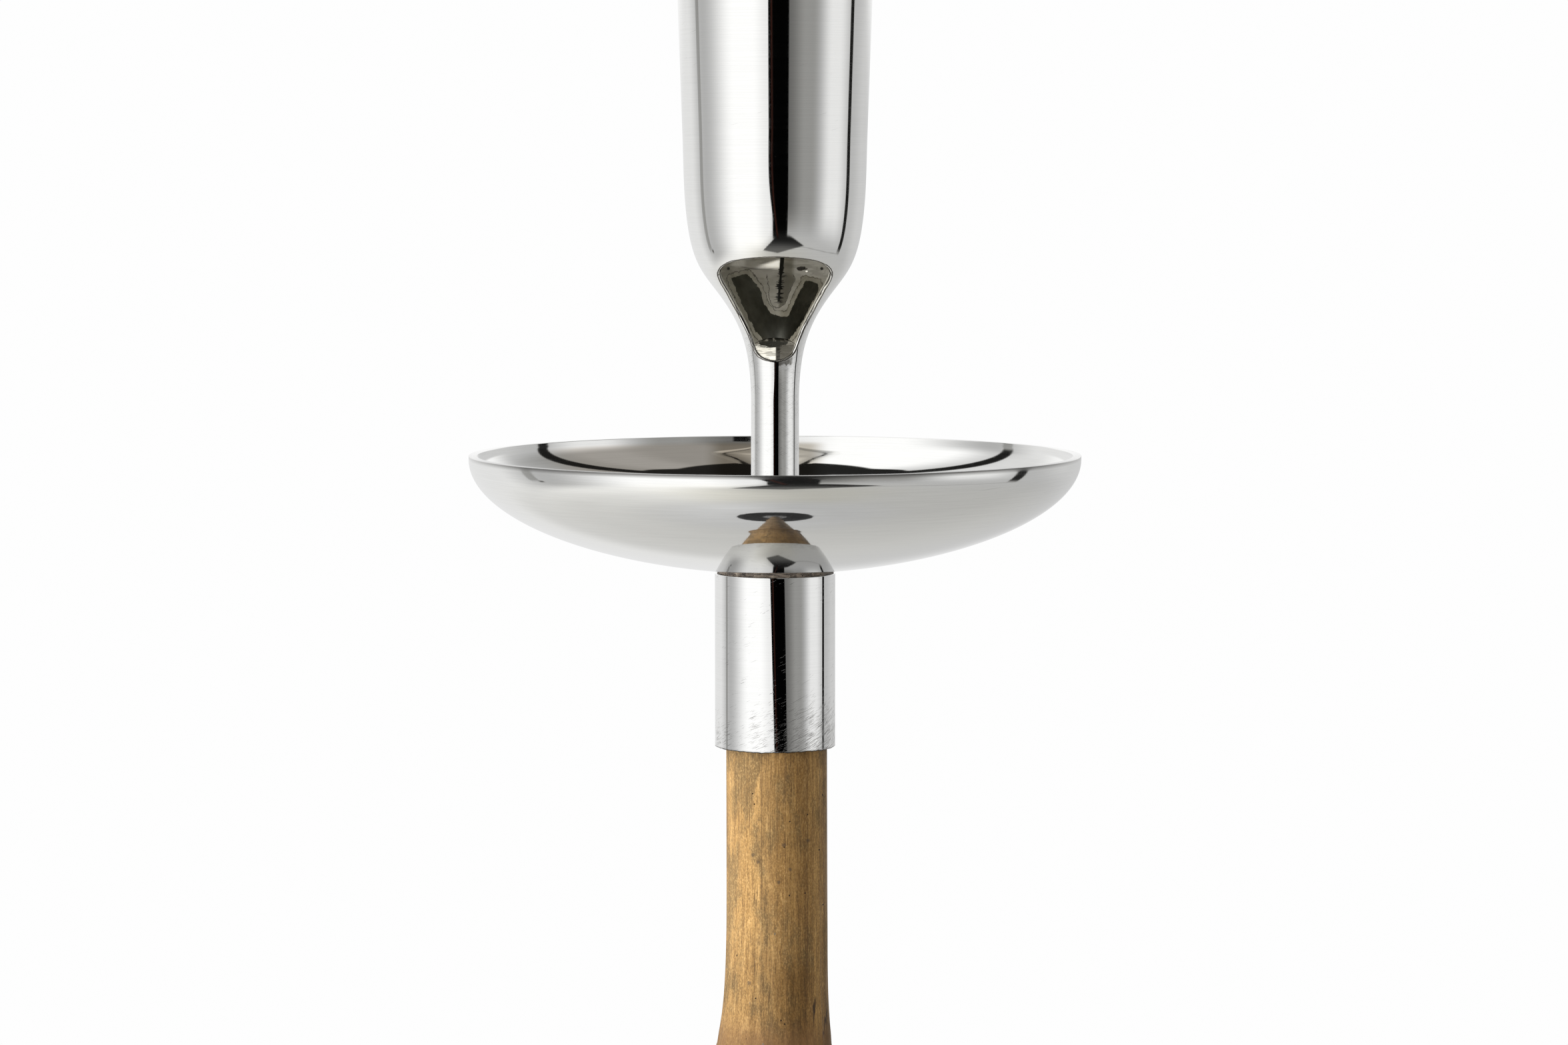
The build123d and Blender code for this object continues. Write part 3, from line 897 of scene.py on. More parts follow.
def make_group(name, inputs, outputs, build):
    """A shader node group: build gets the net and the inputs by name and returns the outputs in order."""
    tree = bpy.data.node_groups.new(name, "ShaderNodeTree")
    for label, kind in inputs:
        tree.interface.new_socket(label, in_out="INPUT", socket_type="NodeSocket" + kind)
    for label, kind in outputs:
        tree.interface.new_socket(label, in_out="OUTPUT", socket_type="NodeSocket" + kind)
    net = Net(tree)
    source, sink = tree.nodes.new("NodeGroupInput"), tree.nodes.new("NodeGroupOutput")
    made = build(net, *[source.outputs[label] for label, _ in inputs])
    for socket, value in zip(sink.inputs, made):
        net.put(socket, value)
    return tree


def use_group(net, group, *inputs):
    """Places a group in a material and returns its outputs."""
    node = net.tree.nodes.new("ShaderNodeGroup")
    node.node_tree = group
    for socket, value in zip(node.inputs, inputs):
        if value is not None:
            net.put(socket, value)
    return list(node.outputs)


def make_finish(name, build, **plain):
    """A material with one Principled BSDF. Plain settings go on its sockets, and build returns what is
    linked to others."""
    material = bpy.data.materials.new(name)
    material.use_nodes = True
    net = Net(material.node_tree)
    shader = net.tree.nodes.new("ShaderNodeBsdfPrincipled")
    net.put(net.tree.nodes.new("ShaderNodeOutputMaterial").inputs[0], shader.outputs[0])
    for label, value in plain.items():
        shader.inputs[label.replace("_", " ")].default_value = value
    for label, value in build(net).items():
        net.put(shader.inputs[label], value)
    return material


def wear(piece, material):
    """Gives a piece one material."""
    piece.data.materials.clear()
    piece.data.materials.append(material)


# ---------------------------------------------------------------- shared effects


def build_polishing(net, place, along):
    """Fine lines left by the polishing wheel: noise drawn out round the piece, in a fine and a broad
    size."""
    x, y, _ = net.split(place)
    fine = net.noise(
        net.combine(net.times(x, 55.0), net.times(y, 55.0), net.times(along, 4.2)), 1.0, 2.0, 0.6
    )
    broad = net.noise(
        net.combine(net.times(x, 22.0), net.times(y, 22.0), net.times(along, 0.8)), 1.0, 2.0, 0.5
    )
    height = net.plus(net.times(fine, 0.7), net.times(broad, 0.5))
    return height, net.rise(fine, 0.35, 0.7), net.rise(broad, 0.3, 0.7)


def build_scratches(net, place, along, slope, width, reach, amount):
    """Straight scratches at a slope to the polishing lines: noise drawn out along them, cut at a level
    that follows how scratched each spot is. Slope is in radians, width and reach in millimetres, amount
    from 0 to 1."""
    x, y, _ = net.split(place)
    round_way = net.times(net.math("ARCTAN2", x, net.times(y, -1.0)), 15.0)
    cos, sin = net.math("COSINE", slope), net.math("SINE", slope)
    down_line = net.plus(net.times(round_way, cos), net.times(along, sin))
    over_line = net.minus(net.times(along, cos), net.times(round_way, sin))
    run = net.combine(
        net.math("DIVIDE", down_line, reach), net.math("DIVIDE", over_line, width), net.times(slope, 7.0)
    )
    marks = net.noise(run, 1.0, 1.0, 0.4, 0.0)
    level = net.blend(amount, 0.82, 0.52)
    return net.rise(marks, level, net.plus(level, 0.07)), marks


def build_specks(net, place, scale, amount):
    """Small round specks: the middles of Voronoi cells, kept only where the cell's own number is high."""
    node = net.tree.nodes.new("ShaderNodeTexVoronoi")
    net.put(node.inputs["Vector"], place)
    net.put(node.inputs["Scale"], scale)
    number, _, _ = net.split(node.outputs["Color"])
    kept = net.rise(number, net.minus(1.0, amount), net.minus(1.02, amount))
    size = net.rise(number, net.minus(1.0, amount), 1.0, 0.05, 0.14)
    return [net.times(kept, net.rise(node.outputs["Distance"], size, net.times(size, 0.5)))]


# marks in the wax film, some of them painted highlights and a painted reflection, millimetres across and
# above the pan's rim
wedge_glint_corner = (-4.6, 47.3)
swoosh_low = (-3.0, 46.6)
blot_place = (6.7, 46.85)
bead_glint_place = (7.9, 46.15)
spot_place = (11.7, 46.9)
gap_reflection_foot = (0.75, 38.7)
floor_edge = 29.4


def build_film(net, place, patch, ring):
    """Old wax and soot inside the cup: a beige olive film with a tongue down the middle, thin drying
    lines along its edges, painted shade right of the middle, a dark notched line that is a painted reflection
    of the dark gap between the softboxes, and cream wax on the sloping floor. A wedge under the window's
    top, a bead, a sheen and the cream floor glow as painted highlights."""
    x, _, z = net.split(net.scaled(place, (1 / MM, 1 / MM, 1 / MM)))
    high = net.minus(z, pan_rim)
    shake = net.grain(place, (900.0, 900.0, 700.0), 3.0, 0.6)
    shift = net.rise(shake, 0.2, 0.8, -0.28, 0.28)
    edge = net.plus(patch, shift)
    ragged_ring = net.plus(ring, net.times(shift, 0.8))
    cloud = net.grain(place, (260.0, 260.0, 130.0), 3.0, 0.6)
    smooth = net.grain(place, (160.0, 160.0, 900.0), 3.0, 0.55)
    teeth = net.grain(place, (300.0, 300.0, 2600.0), 3.0, 0.6)
    # the cloudy ground, darker right of the middle
    film = net.tint(net.rise(cloud, 0.35, 0.65), (0.62, 0.60, 0.51, 1), (0.46, 0.44, 0.365, 1))
    film = net.tint(net.rise(x, 0.6, 1.8), film, net.stained(film, (0.72, 0.70, 0.66, 1)))
    # painted shade right of the middle: inside the ring and along the top, a greyer film that is partly
    # metallic
    shadow = net.math(
        "MAXIMUM",
        net.rise(ragged_ring, -0.1, 0.25),
        net.times(net.rise(high, 44.6, 45.6), net.rise(x, 5.4, 3.8)),
    )
    shadow = net.times(shadow, net.rise(x, 0.6, 1.3))
    film = net.tint(
        net.times(shadow, 0.9),
        film,
        net.tint(net.rise(smooth, 0.4, 0.6), (0.30, 0.29, 0.255, 1), (0.44, 0.425, 0.375, 1)),
    )
    # a pale border beyond the clean patch, and the dark drying lines
    border = net.tint(net.rise(smooth, 0.42, 0.58), (0.66, 0.64, 0.57, 1), (0.50, 0.48, 0.42, 1))
    film = net.tint(net.times(net.rise(edge, -1.1, -1.3), net.rise(high, 44.0, 46.0, 0.5, 1.0)), film, border)
    film = net.tint(net.band(edge, -1.05, 0.07, 0.09), film, (0.09, 0.08, 0.065, 1))
    film = net.tint(
        net.times(net.band(ragged_ring, 0.0, 0.07, 0.08), net.rise(high, 45.6, 45.0)),
        film,
        (0.08, 0.07, 0.055, 1),
    )
    # a glowing wedge under the window's top, a painted highlight, and a thin dark swoosh and a blot
    wedge_glint_top = net.plus(wedge_glint_corner[1], net.times(net.minus(x, wedge_glint_corner[0]), 0.29))
    wedge_glint = net.times(net.rise(high, 46.3, 47.6), net.rise(net.minus(high, wedge_glint_top), 0.5, -0.5))
    wedge_glint = net.times(wedge_glint, net.times(net.rise(x, -6.6, -0.6), net.rise(x, 1.5, 0.8)))
    swoosh_reach = net.minus(x, swoosh_low[0])
    swoosh_middle = net.plus(swoosh_low[1], net.times(net.times(swoosh_reach, swoosh_reach), 0.022))
    swoosh = net.times(
        net.band(high, swoosh_middle, 0.12, 0.22), net.times(net.rise(x, -9.2, -7.0), net.rise(x, 0.4, -1.5))
    )
    film = net.tint(net.times(swoosh, 0.85), film, (0.10, 0.09, 0.075, 1))
    blot_x = net.times(net.minus(x, blot_place[0]), 0.75)
    blot = net.length(blot_x, net.times(net.minus(high, blot_place[1]), 2.0))
    film = net.tint(net.rise(net.plus(blot, shift), 1.1, 0.8), film, (0.06, 0.055, 0.045, 1))
    # a painted reflection of the dark gap between the softboxes: a dark notched line down the middle, and a
    # smear that crosses it
    notch = net.rise(teeth, 0.45, 0.62, 0.0, 0.9)
    gap_reflection_middle = net.plus(gap_reflection_foot[0], net.times(net.minus(high, gap_reflection_foot[1]), 0.09))
    gap_reflection_side = net.minus(x, gap_reflection_middle)
    gap_reflection_half = net.plus(net.rise(high, 45.0, 46.5, 0.28, 0.5), net.times(notch, net.rise(high, 48.5, 43.0)))
    run = net.times(net.band(gap_reflection_side, 0.1, gap_reflection_half, 0.14), net.rise(high, 37.9, 38.9))
    smear = net.times(
        net.band(high, net.plus(44.8, net.times(shift, 1.2)), 0.15, 0.25), net.band(gap_reflection_side, 0.4, 1.0, 0.8)
    )
    run = net.math("MAXIMUM", run, smear)
    film = net.tint(run, film, (0.035, 0.035, 0.03, 1))
    # two dark spots, and a bright bead and a dull sheen that glow as painted highlights
    from_spots = net.length(net.minus(net.math("ABSOLUTE", x), spot_place[0]), net.minus(high, spot_place[1]))
    spots = net.rise(from_spots, 0.5, 0.25)
    film = net.tint(spots, film, (0.03, 0.028, 0.025, 1))
    bead_glint_high = net.times(net.minus(high, bead_glint_place[1]), 1.6)
    bead_glint = net.rise(net.length(net.minus(x, bead_glint_place[0]), bead_glint_high), 0.36, 0.2)
    painted_sheen = net.times(
        net.rise(high, 46.9, 47.8), net.times(net.rise(x, -11.6, -10.4), net.rise(x, -6.8, -8.6))
    )
    # the clean patch
    clean = net.tint(net.rise(cloud, 0.3, 0.7), (0.185, 0.185, 0.16, 1), (0.12, 0.12, 0.10, 1))
    cleaned_or_shaded = net.rise(edge, -0.04, 0.06)
    film = net.tint(cleaned_or_shaded, film, clean)
    # the sloping floor: cream on the left, dark on the right, and sooty at its back
    on_floor = net.rise(high, floor_edge, floor_edge - 0.8)
    floor = net.tint(net.rise(x, 0.1, 0.7), (1.0, 0.97, 0.89, 1), (0.24, 0.225, 0.19, 1))
    floor = net.tint(net.band(x, 0.75, 0.5, 0.25), floor, (0.05, 0.045, 0.04, 1))
    drift = net.rise(teeth, 0.35, 0.65)
    floor = net.tint(net.times(drift, 0.5), floor, (0.30, 0.285, 0.25, 1))
    soot = net.minus(
        net.plus(high, net.times(net.minus(drift, 0.5), 0.8)),
        net.times(net.math("ABSOLUTE", net.plus(x, 0.4)), 0.2),
    )
    back = net.rise(soot, 27.1, 27.5)
    floor = net.tint(
        net.times(back, 0.9), floor, net.tint(net.rise(x, 0.6, 1.8), border, (0.56, 0.53, 0.46, 1))
    )
    soot = net.times(
        back, net.rise(net.plus(net.math("ABSOLUTE", net.plus(x, 0.3)), net.times(shift, 2.0)), 3.7, 3.4)
    )
    floor = net.tint(soot, floor, (0.080, 0.078, 0.066, 1))
    film = net.tint(on_floor, film, floor)
    # the cream floor's left glows a little, a painted highlight, summed with the wedge, bead and sheen into
    # one glow
    floor_glint = net.times(
        net.times(on_floor, net.minus(1.0, back)),
        net.times(net.rise(x, 0.35, -0.1), net.rise(drift, 0.8, 0.4, 0.4, 1.0)),
    )
    glint = net.plus(
        net.math("MAXIMUM", wedge_glint, net.times(floor_glint, 1.1)),
        net.plus(net.times(bead_glint, 1.6), net.times(painted_sheen, 0.14)),
    )
    glint = net.tint(net.times(glint, net.minus(1.0, run)), (0.0, 0.0, 0.0, 1), (0.62, 0.60, 0.53, 1))
    # the clean patch and the painted shade right of the middle turn to dark metal, but not on the floor
    cleaned_or_shaded = net.times(net.math("MAXIMUM", cleaned_or_shaded, net.times(shadow, 0.85)), net.minus(1.0, on_floor))
    return film, net.times(shake, 20.0), cleaned_or_shaded, glint


vector, number, colour = "Vector", "Float", "Color"
filming = make_group(
    "wax_film",
    [("Place", vector), ("Patch", number), ("Ring", number)],
    [("Color", colour), ("Height", number), ("Cleaned_or_shaded", number), ("Glint", colour)],
    build_film,
)
polishing = make_group(
    "polishing_lines",
    [("Place", vector), ("Along", number)],
    [("Height", number), ("Fine", number), ("Broad", number)],
    build_polishing,
)
scratching = make_group(
    "slanted_scratches",
    [
        ("Place", vector),
        ("Along", number),
        ("Slope", number),
        ("Width", number),
        ("Reach", number),
        ("Amount", number),
    ],
    [("Mask", number), ("Height", number)],
    build_scratches,
)
specking = make_group(
    "round_specks",
    [("Place", vector), ("Scale", number), ("Amount", number)],
    [("Mask", number)],
    build_specks,
)

# ---------------------------------------------------------------- steel


def build_polished(net):
    """Mirror steel: bright, with fine polishing lines and a few light scuffs. The stem has crossing
    scratches and a brown stain under the window's tip, the pan's inside at the back a painted reflection that
    darkens and warms it round the stem, the cup's inside its wax film with painted shade, a painted
    reflection and glowing painted highlights, and the window's cut edge a painted dark reflection line near
    its outer arris, a bright band and a dark inner half."""
    place = net.object_place()
    along = net.stored("along")
    inner = net.stored("inner")
    height, fine, broad = use_group(net, polishing, place, along)
    patches = net.noise(place, 60.0, 2.0)
    scuffed = net.rise(patches, 0.45, 0.7, 0.0, 0.35)
    cut, cut_height = use_group(net, scratching, place, along, 0.36, 0.16, 3.5, scuffed)
    # scratches that cross each other on the stem
    x, y, z = net.split(place)
    from_axis = net.length(x, y)
    on_stem = net.times(
        net.rise(from_axis, 0.0095, 0.0068), net.rise(net.noise(place, 150.0, 2.0), 0.3, 0.6, 0.45, 0.75)
    )
    on_stem = net.times(on_stem, net.rise(net.band(x, -0.0023, 0.0016, 0.0007), 0.0, 1.0, 1.0, 0.45))
    rising, rising_height = use_group(net, scratching, place, along, 0.17, 0.13, 5.5, on_stem)
    falling, falling_height = use_group(net, scratching, place, along, -0.24, 0.12, 4.5, on_stem)
    rubbed = net.math("MAXIMUM", rising, net.times(falling, 0.9))
    outside = net.tint(net.times(fine, 0.6), (0.93, 0.93, 0.915, 1), (0.875, 0.875, 0.86, 1))
    outside = net.tint(net.times(rubbed, 0.5), outside, (0.40, 0.39, 0.38, 1))
    outside = net.tint(net.times(cut, 0.35), outside, (0.45, 0.44, 0.43, 1))
    stains = net.grain(place, (420.0, 420.0, 160.0), 4.0, 0.65)
    # painted reflection on the pan's inside at the back: darker and warmer round the stem, standing in for
    # the cup's window and film seen in it
    pan_back = net.times(
        net.rise(y, 0.040, 0.055),
        net.times(net.rise(z, pan_rim * MM, (pan_rim - 1.5) * MM), net.minus(1.0, net.stored("haze"))),
    )
    painted_reflection = net.rise(
        net.plus(net.math("ABSOLUTE", net.plus(x, 0.0025)), net.rise(patches, 0.3, 0.7, -0.001, 0.001)),
        0.0165,
        0.0105,
    )
    outside = net.tint(net.times(pan_back, painted_reflection), outside, net.stained(outside, (0.60, 0.56, 0.50, 1)))
    reflection_warmth = net.times(pan_back, net.rise(x, 0.004, -0.012))
    outside = net.tint(reflection_warmth, outside, net.stained(outside, (0.95, 0.895, 0.835, 1)))
    # the brown stain under the window's tip
    wobble = net.rise(stains, 0.3, 0.7, -0.0007, 0.0007)
    leftmost, side, high = net.plus(x, wobble), net.plus(x, net.times(wobble, 0.5)), net.plus(z, wobble)
    stain = net.times(net.rise(leftmost, 0.0006, 0.0011), net.rise(side, 0.0045, 0.0040))
    tip = (pan_rim + window_tip_height) * MM
    stain = net.times(
        stain, net.times(net.rise(high, tip - 0.0006, tip - 0.0002), net.rise(z, tip + 0.0045, tip + 0.0025))
    )
    stain = net.times(stain, net.rise(y, 0.0, -0.001))
    outside = net.tint(
        net.times(stain, net.rise(stains, 0.35, 0.6, 0.6, 0.9)), outside, (0.15, 0.14, 0.12, 1)
    )
    # the cup's inside, with the clean patch and the painted shade as dark metal, and the window's cut edge: a
    # painted dark reflection line near its outer arris, a bright band and a dark inner half
    film, film_relief, clean, glint = use_group(net, filming, place, net.stored("patch"), net.stored("ring"))
    deep = net.rise(inner, 0.45, 0.6)
    wavy = net.plus(inner, net.rise(net.noise(place, 280.0, 3.0, 0.6), 0.3, 0.7, -0.06, 0.06))
    edge = net.tint(net.band(wavy, 0.12, 0.08, 0.05), (0.92, 0.91, 0.87, 1), (0.09, 0.08, 0.07, 1))
    edge = net.tint(net.rise(wavy, 0.36, 0.40), edge, (0.07, 0.065, 0.055, 1))
    base = net.tint(net.rise(inner, 0.0, 0.02), outside, edge)
    base = net.tint(deep, base, film)
    # the lip's top darker and rougher towards the front
    lip_front_dark = net.stored("lip_front_dark")
    base = net.tint(lip_front_dark, base, (0.25, 0.245, 0.235, 1))
    rough = net.plus(
        net.plus(0.025, net.times(fine, 0.03)), net.plus(net.times(broad, 0.02), net.times(cut, 0.15))
    )
    dull = net.rise(stains, 0.3, 0.7, 0.25, 0.4)
    dull = net.blend(clean, dull, 0.34)
    hazy = net.minus(1.0, net.times(net.stored("haze"), 0.022))
    lines = net.plus(
        net.times(net.times(cut_height, cut), -0.6),
        net.times(net.plus(rising_height, falling_height), on_stem),
    )
    relief = net.plus(net.plus(height, lines), net.times(film_relief, deep))
    return {
        "Base Color": base,
        "Metallic": net.blend(deep, hazy, clean),
        # the glow of the film's painted highlights
        "Emission Color": net.tint(deep, (0.0, 0.0, 0.0, 1), glint),
        "Roughness": net.plus(net.blend(deep, rough, dull), net.times(lip_front_dark, 0.2)),
        "Normal": net.add("Bump", 0.4, 0.0000016, None, relief),
    }


def build_ferrule(net):
    """The ferrule's steel: bright, with dense slanted scratches that are thickest towards its foot, and a
    dark torn edge. It is darker where it is seen in reflections, a painted shade."""
    place = net.object_place()
    along = net.stored("along")
    x, _, _ = net.split(place)
    height, fine, _ = use_group(net, polishing, place, along)
    patches = net.grain(place, (130.0, 130.0, 60.0), 2.0)
    low = net.rise(along, 20.0, 2.0)
    rightward = net.rise(x, -0.003, 0.006)
    amount = net.plus(
        net.rise(patches, 0.35, 0.7, 0.05, 0.4),
        net.plus(net.times(low, net.plus(0.38, net.times(rightward, 0.34))), net.times(rightward, 0.08)),
    )
    first, first_height = use_group(net, scratching, place, along, 0.38, 0.10, 3.0, amount)
    second, second_height = use_group(net, scratching, place, along, 0.58, 0.09, 2.2, net.times(amount, 0.9))
    third, _ = use_group(net, scratching, place, along, 0.16, 0.1, 5.0, net.times(amount, 0.55))
    cut = net.math("MAXIMUM", first, net.math("MAXIMUM", net.times(second, 0.8), net.times(third, 0.6)))
    base = net.tint(net.times(fine, 0.6), (0.93, 0.93, 0.92, 1), (0.87, 0.87, 0.86, 1))
    base = net.tint(net.times(cut, 0.85), base, (0.22, 0.21, 0.195, 1))
    pits = use_group(net, specking, place, 520.0, 0.03)[0]
    base = net.tint(net.times(pits, 0.8), base, (0.08, 0.07, 0.06, 1))
    torn = net.grain(place, (900.0, 900.0, 2400.0), 3.0, 0.7)
    foot = net.rise(net.plus(along, net.times(torn, 0.9)), 0.95, 0.45)
    base = net.tint(net.times(foot, net.rise(torn, 0.42, 0.6, 0.3, 1.0)), base, (0.10, 0.085, 0.07, 1))
    base = net.tint(
        net.rise(net.plus(along, net.times(torn, 0.3)), 0.42, 0.24), base, (0.035, 0.028, 0.022, 1)
    )
    rough = net.plus(
        net.plus(0.025, net.times(fine, 0.03)), net.plus(net.times(cut, 0.16), net.times(foot, 0.35))
    )
    lines = net.plus(net.times(first_height, low), net.times(second_height, net.times(low, 0.7)))
    relief = net.plus(net.plus(height, net.times(lines, 2.3)), net.times(torn, net.times(foot, 9.0)))
    relief = net.minus(relief, net.times(cut, 2.0))
    # painted shade: the ferrule is darker where it is seen in reflections, as in its copy under the pan
    reflected_shade = net.add("LightPath", out=3)
    base = net.tint(net.times(reflected_shade, 0.3), base, (0.0, 0.0, 0.0, 1))
    return {"Base Color": base, "Roughness": rough, "Normal": net.add("Bump", 0.7, 0.0000022, None, relief)}


def build_socket(net):
    """Turned steel, a little softer than the mirror steel."""
    place = net.object_place()
    height, fine, broad = use_group(net, polishing, place, net.stored("along"))
    base = net.tint(fine, (0.80, 0.80, 0.79, 1), (0.66, 0.66, 0.65, 1))
    rough = net.plus(net.plus(0.16, net.times(fine, 0.08)), net.times(broad, 0.06))
    return {"Base Color": base, "Roughness": rough, "Normal": net.add("Bump", 0.7, 0.000004, None, height)}


def build_machined(net):
    """Machined steel of the flange and screws: rings of the lathe tool in the radius."""
    place = net.object_place()
    x, y, z = net.split(place)
    radius = net.length(x, y)
    rings = net.noise(
        net.combine(net.times(x, 30.0), net.times(y, 30.0), net.times(net.plus(radius, z), 2600.0)),
        1.0,
        2.0,
        0.6,
    )
    smear = net.noise(place, 90.0, 3.0)
    base = net.tint(net.rise(rings, 0.3, 0.7), (0.74, 0.74, 0.74, 1), (0.56, 0.56, 0.565, 1))
    rough = net.plus(net.rise(rings, 0.3, 0.7, 0.2, 0.32), net.rise(smear, 0.4, 0.7, 0.0, 0.08))
    return {"Base Color": base, "Roughness": rough, "Normal": net.add("Bump", 0.6, 0.000006, None, rings)}


# ---------------------------------------------------------------- bamboo and the other materials


def build_bamboo(net):
    """Old bamboo skin: upright fibres and seams, golden and olive mottling, brown clouds, pinholes and
    grey scuffs. It is darker right of the middle, partly weathering and partly painted shade, less dark at
    the far right edge, a painted rim light, and darker where it is seen in reflections, a painted shade."""
    place = net.object_place()
    x, y, z = net.split(place)
    hairs = net.grain(place, (5200.0, 5200.0, 260.0), 2.0, 0.6)
    fibres = net.grain(place, (2600.0, 2600.0, 60.0), 3.0, 0.65)
    strands = net.grain(place, (900.0, 900.0, 14.0), 3.0, 0.6)
    bands = net.grain(place, (170.0, 170.0, 6.0), 2.0, 0.5)
    patches = net.grain(place, (480.0, 480.0, 150.0), 5.0, 0.74, 0.3)
    clouds = net.grain(place, (150.0, 150.0, 62.0), 5.0, 0.66, 0.25)
    blots = net.grain(place, (1300.0, 1300.0, 750.0), 3.0, 0.7, 0.4)
    near = 1.0
    for node in node_heights:
        near = net.math("MINIMUM", near, net.math("ABSOLUTE", net.minus(z, node * MM)))
    near = net.rise(near, 0.012, 0.002)
    base = net.tint(net.rise(bands, 0.38, 0.62), (0.480, 0.275, 0.096, 1), (0.650, 0.390, 0.148, 1))
    base = net.tint(net.rise(patches, 0.52, 0.66, 0.0, 0.7), base, (0.880, 0.560, 0.240, 1))
    base = net.tint(net.rise(patches, 0.48, 0.34, 0.0, 0.6), base, (0.310, 0.180, 0.072, 1))
    base = net.tint(net.rise(strands, 0.50, 0.60, 0.0, 0.28), base, (0.310, 0.165, 0.060, 1))
    smudge = net.times(net.rise(clouds, 0.46, 0.60), net.rise(blots, 0.3, 0.6, 0.6, 1.0))
    base = net.tint(net.times(smudge, 0.75), base, (0.225, 0.155, 0.075, 1))
    grain = net.grain(place, (2600.0, 2600.0, 1700.0), 3.0, 0.68)
    base = net.tint(net.rise(grain, 0.48, 0.66, 0.0, 0.5), base, (0.190, 0.125, 0.060, 1))
    base = net.tint(net.rise(grain, 0.48, 0.36, 0.0, 0.36), base, (0.900, 0.620, 0.290, 1))
    base = net.tint(net.rise(fibres, 0.52, 0.66, 0.0, 0.36), base, (0.235, 0.135, 0.060, 1))
    base = net.tint(net.rise(fibres, 0.46, 0.32, 0.0, 0.26), base, (0.900, 0.590, 0.260, 1))
    base = net.tint(net.rise(hairs, 0.54, 0.66, 0.0, 0.5), base, (0.160, 0.090, 0.040, 1))
    base = net.tint(
        net.times(net.rise(blots, 0.60, 0.74), net.rise(clouds, 0.42, 0.58, 0.1, 0.5)),
        base,
        (0.130, 0.090, 0.052, 1),
    )
    # darker right of the middle, partly weathered skin and partly painted shade on the side away from the key
    # light, with darker patches low down and near the top; the far right edge is left less dark, a painted
    # rim light
    sway = net.rise(bands, 0.3, 0.7, -0.0006, 0.0006)
    side = net.plus(x, net.plus(sway, net.rise(clouds, 0.3, 0.7, -0.0004, 0.0004)))
    side_shade_and_weathering = net.plus(net.rise(side, -0.0037, -0.0029, 0.0, 0.3), net.rise(side, 0.0018, 0.0042, 0.0, 0.3))
    uneven = net.minus(clouds, 0.5)
    height = net.plus(z, net.times(uneven, 0.04))
    right_height = net.plus(z, net.times(uneven, 0.03))
    low_right = net.times(net.rise(right_height, 0.966, 0.957), net.rise(side, -0.004, 0.003))
    low = net.times(net.rise(height, 0.970, 0.956), net.rise(side, -0.003, -0.001, 0.32, 0.1))
    high = net.times(net.rise(height, 0.990, 0.998), net.rise(side, 0.0, -0.002, 0.0, 0.1))
    side_shade_and_weathering = net.plus(net.plus(side_shade_and_weathering, high), net.plus(net.times(low_right, 0.24), low))
    side_shade_and_weathering = net.times(side_shade_and_weathering, net.rise(side, 0.011, 0.0065, 0.3, 1.0))
    base = net.tint(side_shade_and_weathering, base, net.stained(base, (0.30, 0.27, 0.22, 1)))
    seams = net.grain(place, (1500.0, 1500.0, 3.5), 1.0, 0.4)
    upper = net.rise(z, 0.955, 1.0, 0.2, 0.9)
    left_seam = net.band(x, -0.0033, 0.00004, 0.0001)
    right_seam = net.band(
        net.plus(x, net.times(net.minus(z, culm_high * MM), 0.006)), 0.0023, 0.00004, 0.0001
    )
    base = net.tint(net.times(left_seam, upper), base, (0.110, 0.060, 0.030, 1))
    base = net.tint(net.times(right_seam, upper), base, (0.090, 0.045, 0.025, 1))
    base = net.tint(net.rise(seams, 0.74, 0.80, 0.0, 0.6), base, (0.110, 0.060, 0.030, 1))
    cracks = 0.0
    for across, middle, half, slant in ((0.0099, 0.9483, 0.0042, 0.02), (0.0124, 0.9445, 0.0042, 0.14)):
        rise = net.minus(z, middle)
        crack = net.band(
            net.minus(x, net.plus(across, net.times(rise, slant))),
            net.times(net.minus(strands, 0.5), 0.002),
            0.00016,
            0.0001,
        )
        crack = net.times(
            crack, net.times(net.rise(rise, -half, -half * 0.6), net.rise(rise, half, half * 0.6))
        )
        cracks = net.math("MAXIMUM", cracks, crack)
    facing = net.rise(y, 0.0, -0.001)
    cracks = net.times(cracks, net.times(facing, net.rise(fibres, 0.2, 0.4)))
    base = net.tint(net.times(cracks, 0.95), base, (0.03, 0.018, 0.012, 1))
    base = net.stained(base, (0.975, 0.950, 0.870, 1))
    flat = net.combine(x, 0.0, z)
    marks = []
    for places in (skin_pinholes, skin_scuffs):
        nearest = 1.0
        for across, up in places:
            gap = net.add("VectorMath", flat, (across * MM, 0.0, up * MM), out=1, operation="DISTANCE")
            nearest = net.math("MINIMUM", nearest, gap)
        marks.append(nearest)
    hole = net.times(facing, net.rise(marks[0], 0.00024, 0.00012))
    scuff = net.times(
        facing, net.rise(net.plus(marks[1], net.times(net.minus(grain, 0.5), 0.0016)), 0.00055, 0.0003)
    )
    base = net.tint(net.times(near, net.rise(patches, 0.3, 0.6, 0.35, 0.8)), base, (0.230, 0.120, 0.050, 1))
    pins = use_group(net, specking, net.scaled(place, (1.0, 1.0, 0.8)), 420.0, 0.08)[0]
    grey = use_group(net, specking, net.scaled(place, (1.0, 1.0, 0.7)), 330.0, 0.07)[0]
    base = net.tint(net.times(grey, 0.6), base, (0.190, 0.170, 0.140, 1))
    base = net.tint(net.times(scuff, 0.6), base, (0.065, 0.050, 0.040, 1))
    pins = net.math("MAXIMUM", pins, hole)
    base = net.tint(net.times(pins, 0.95), base, (0.012, 0.008, 0.007, 1))
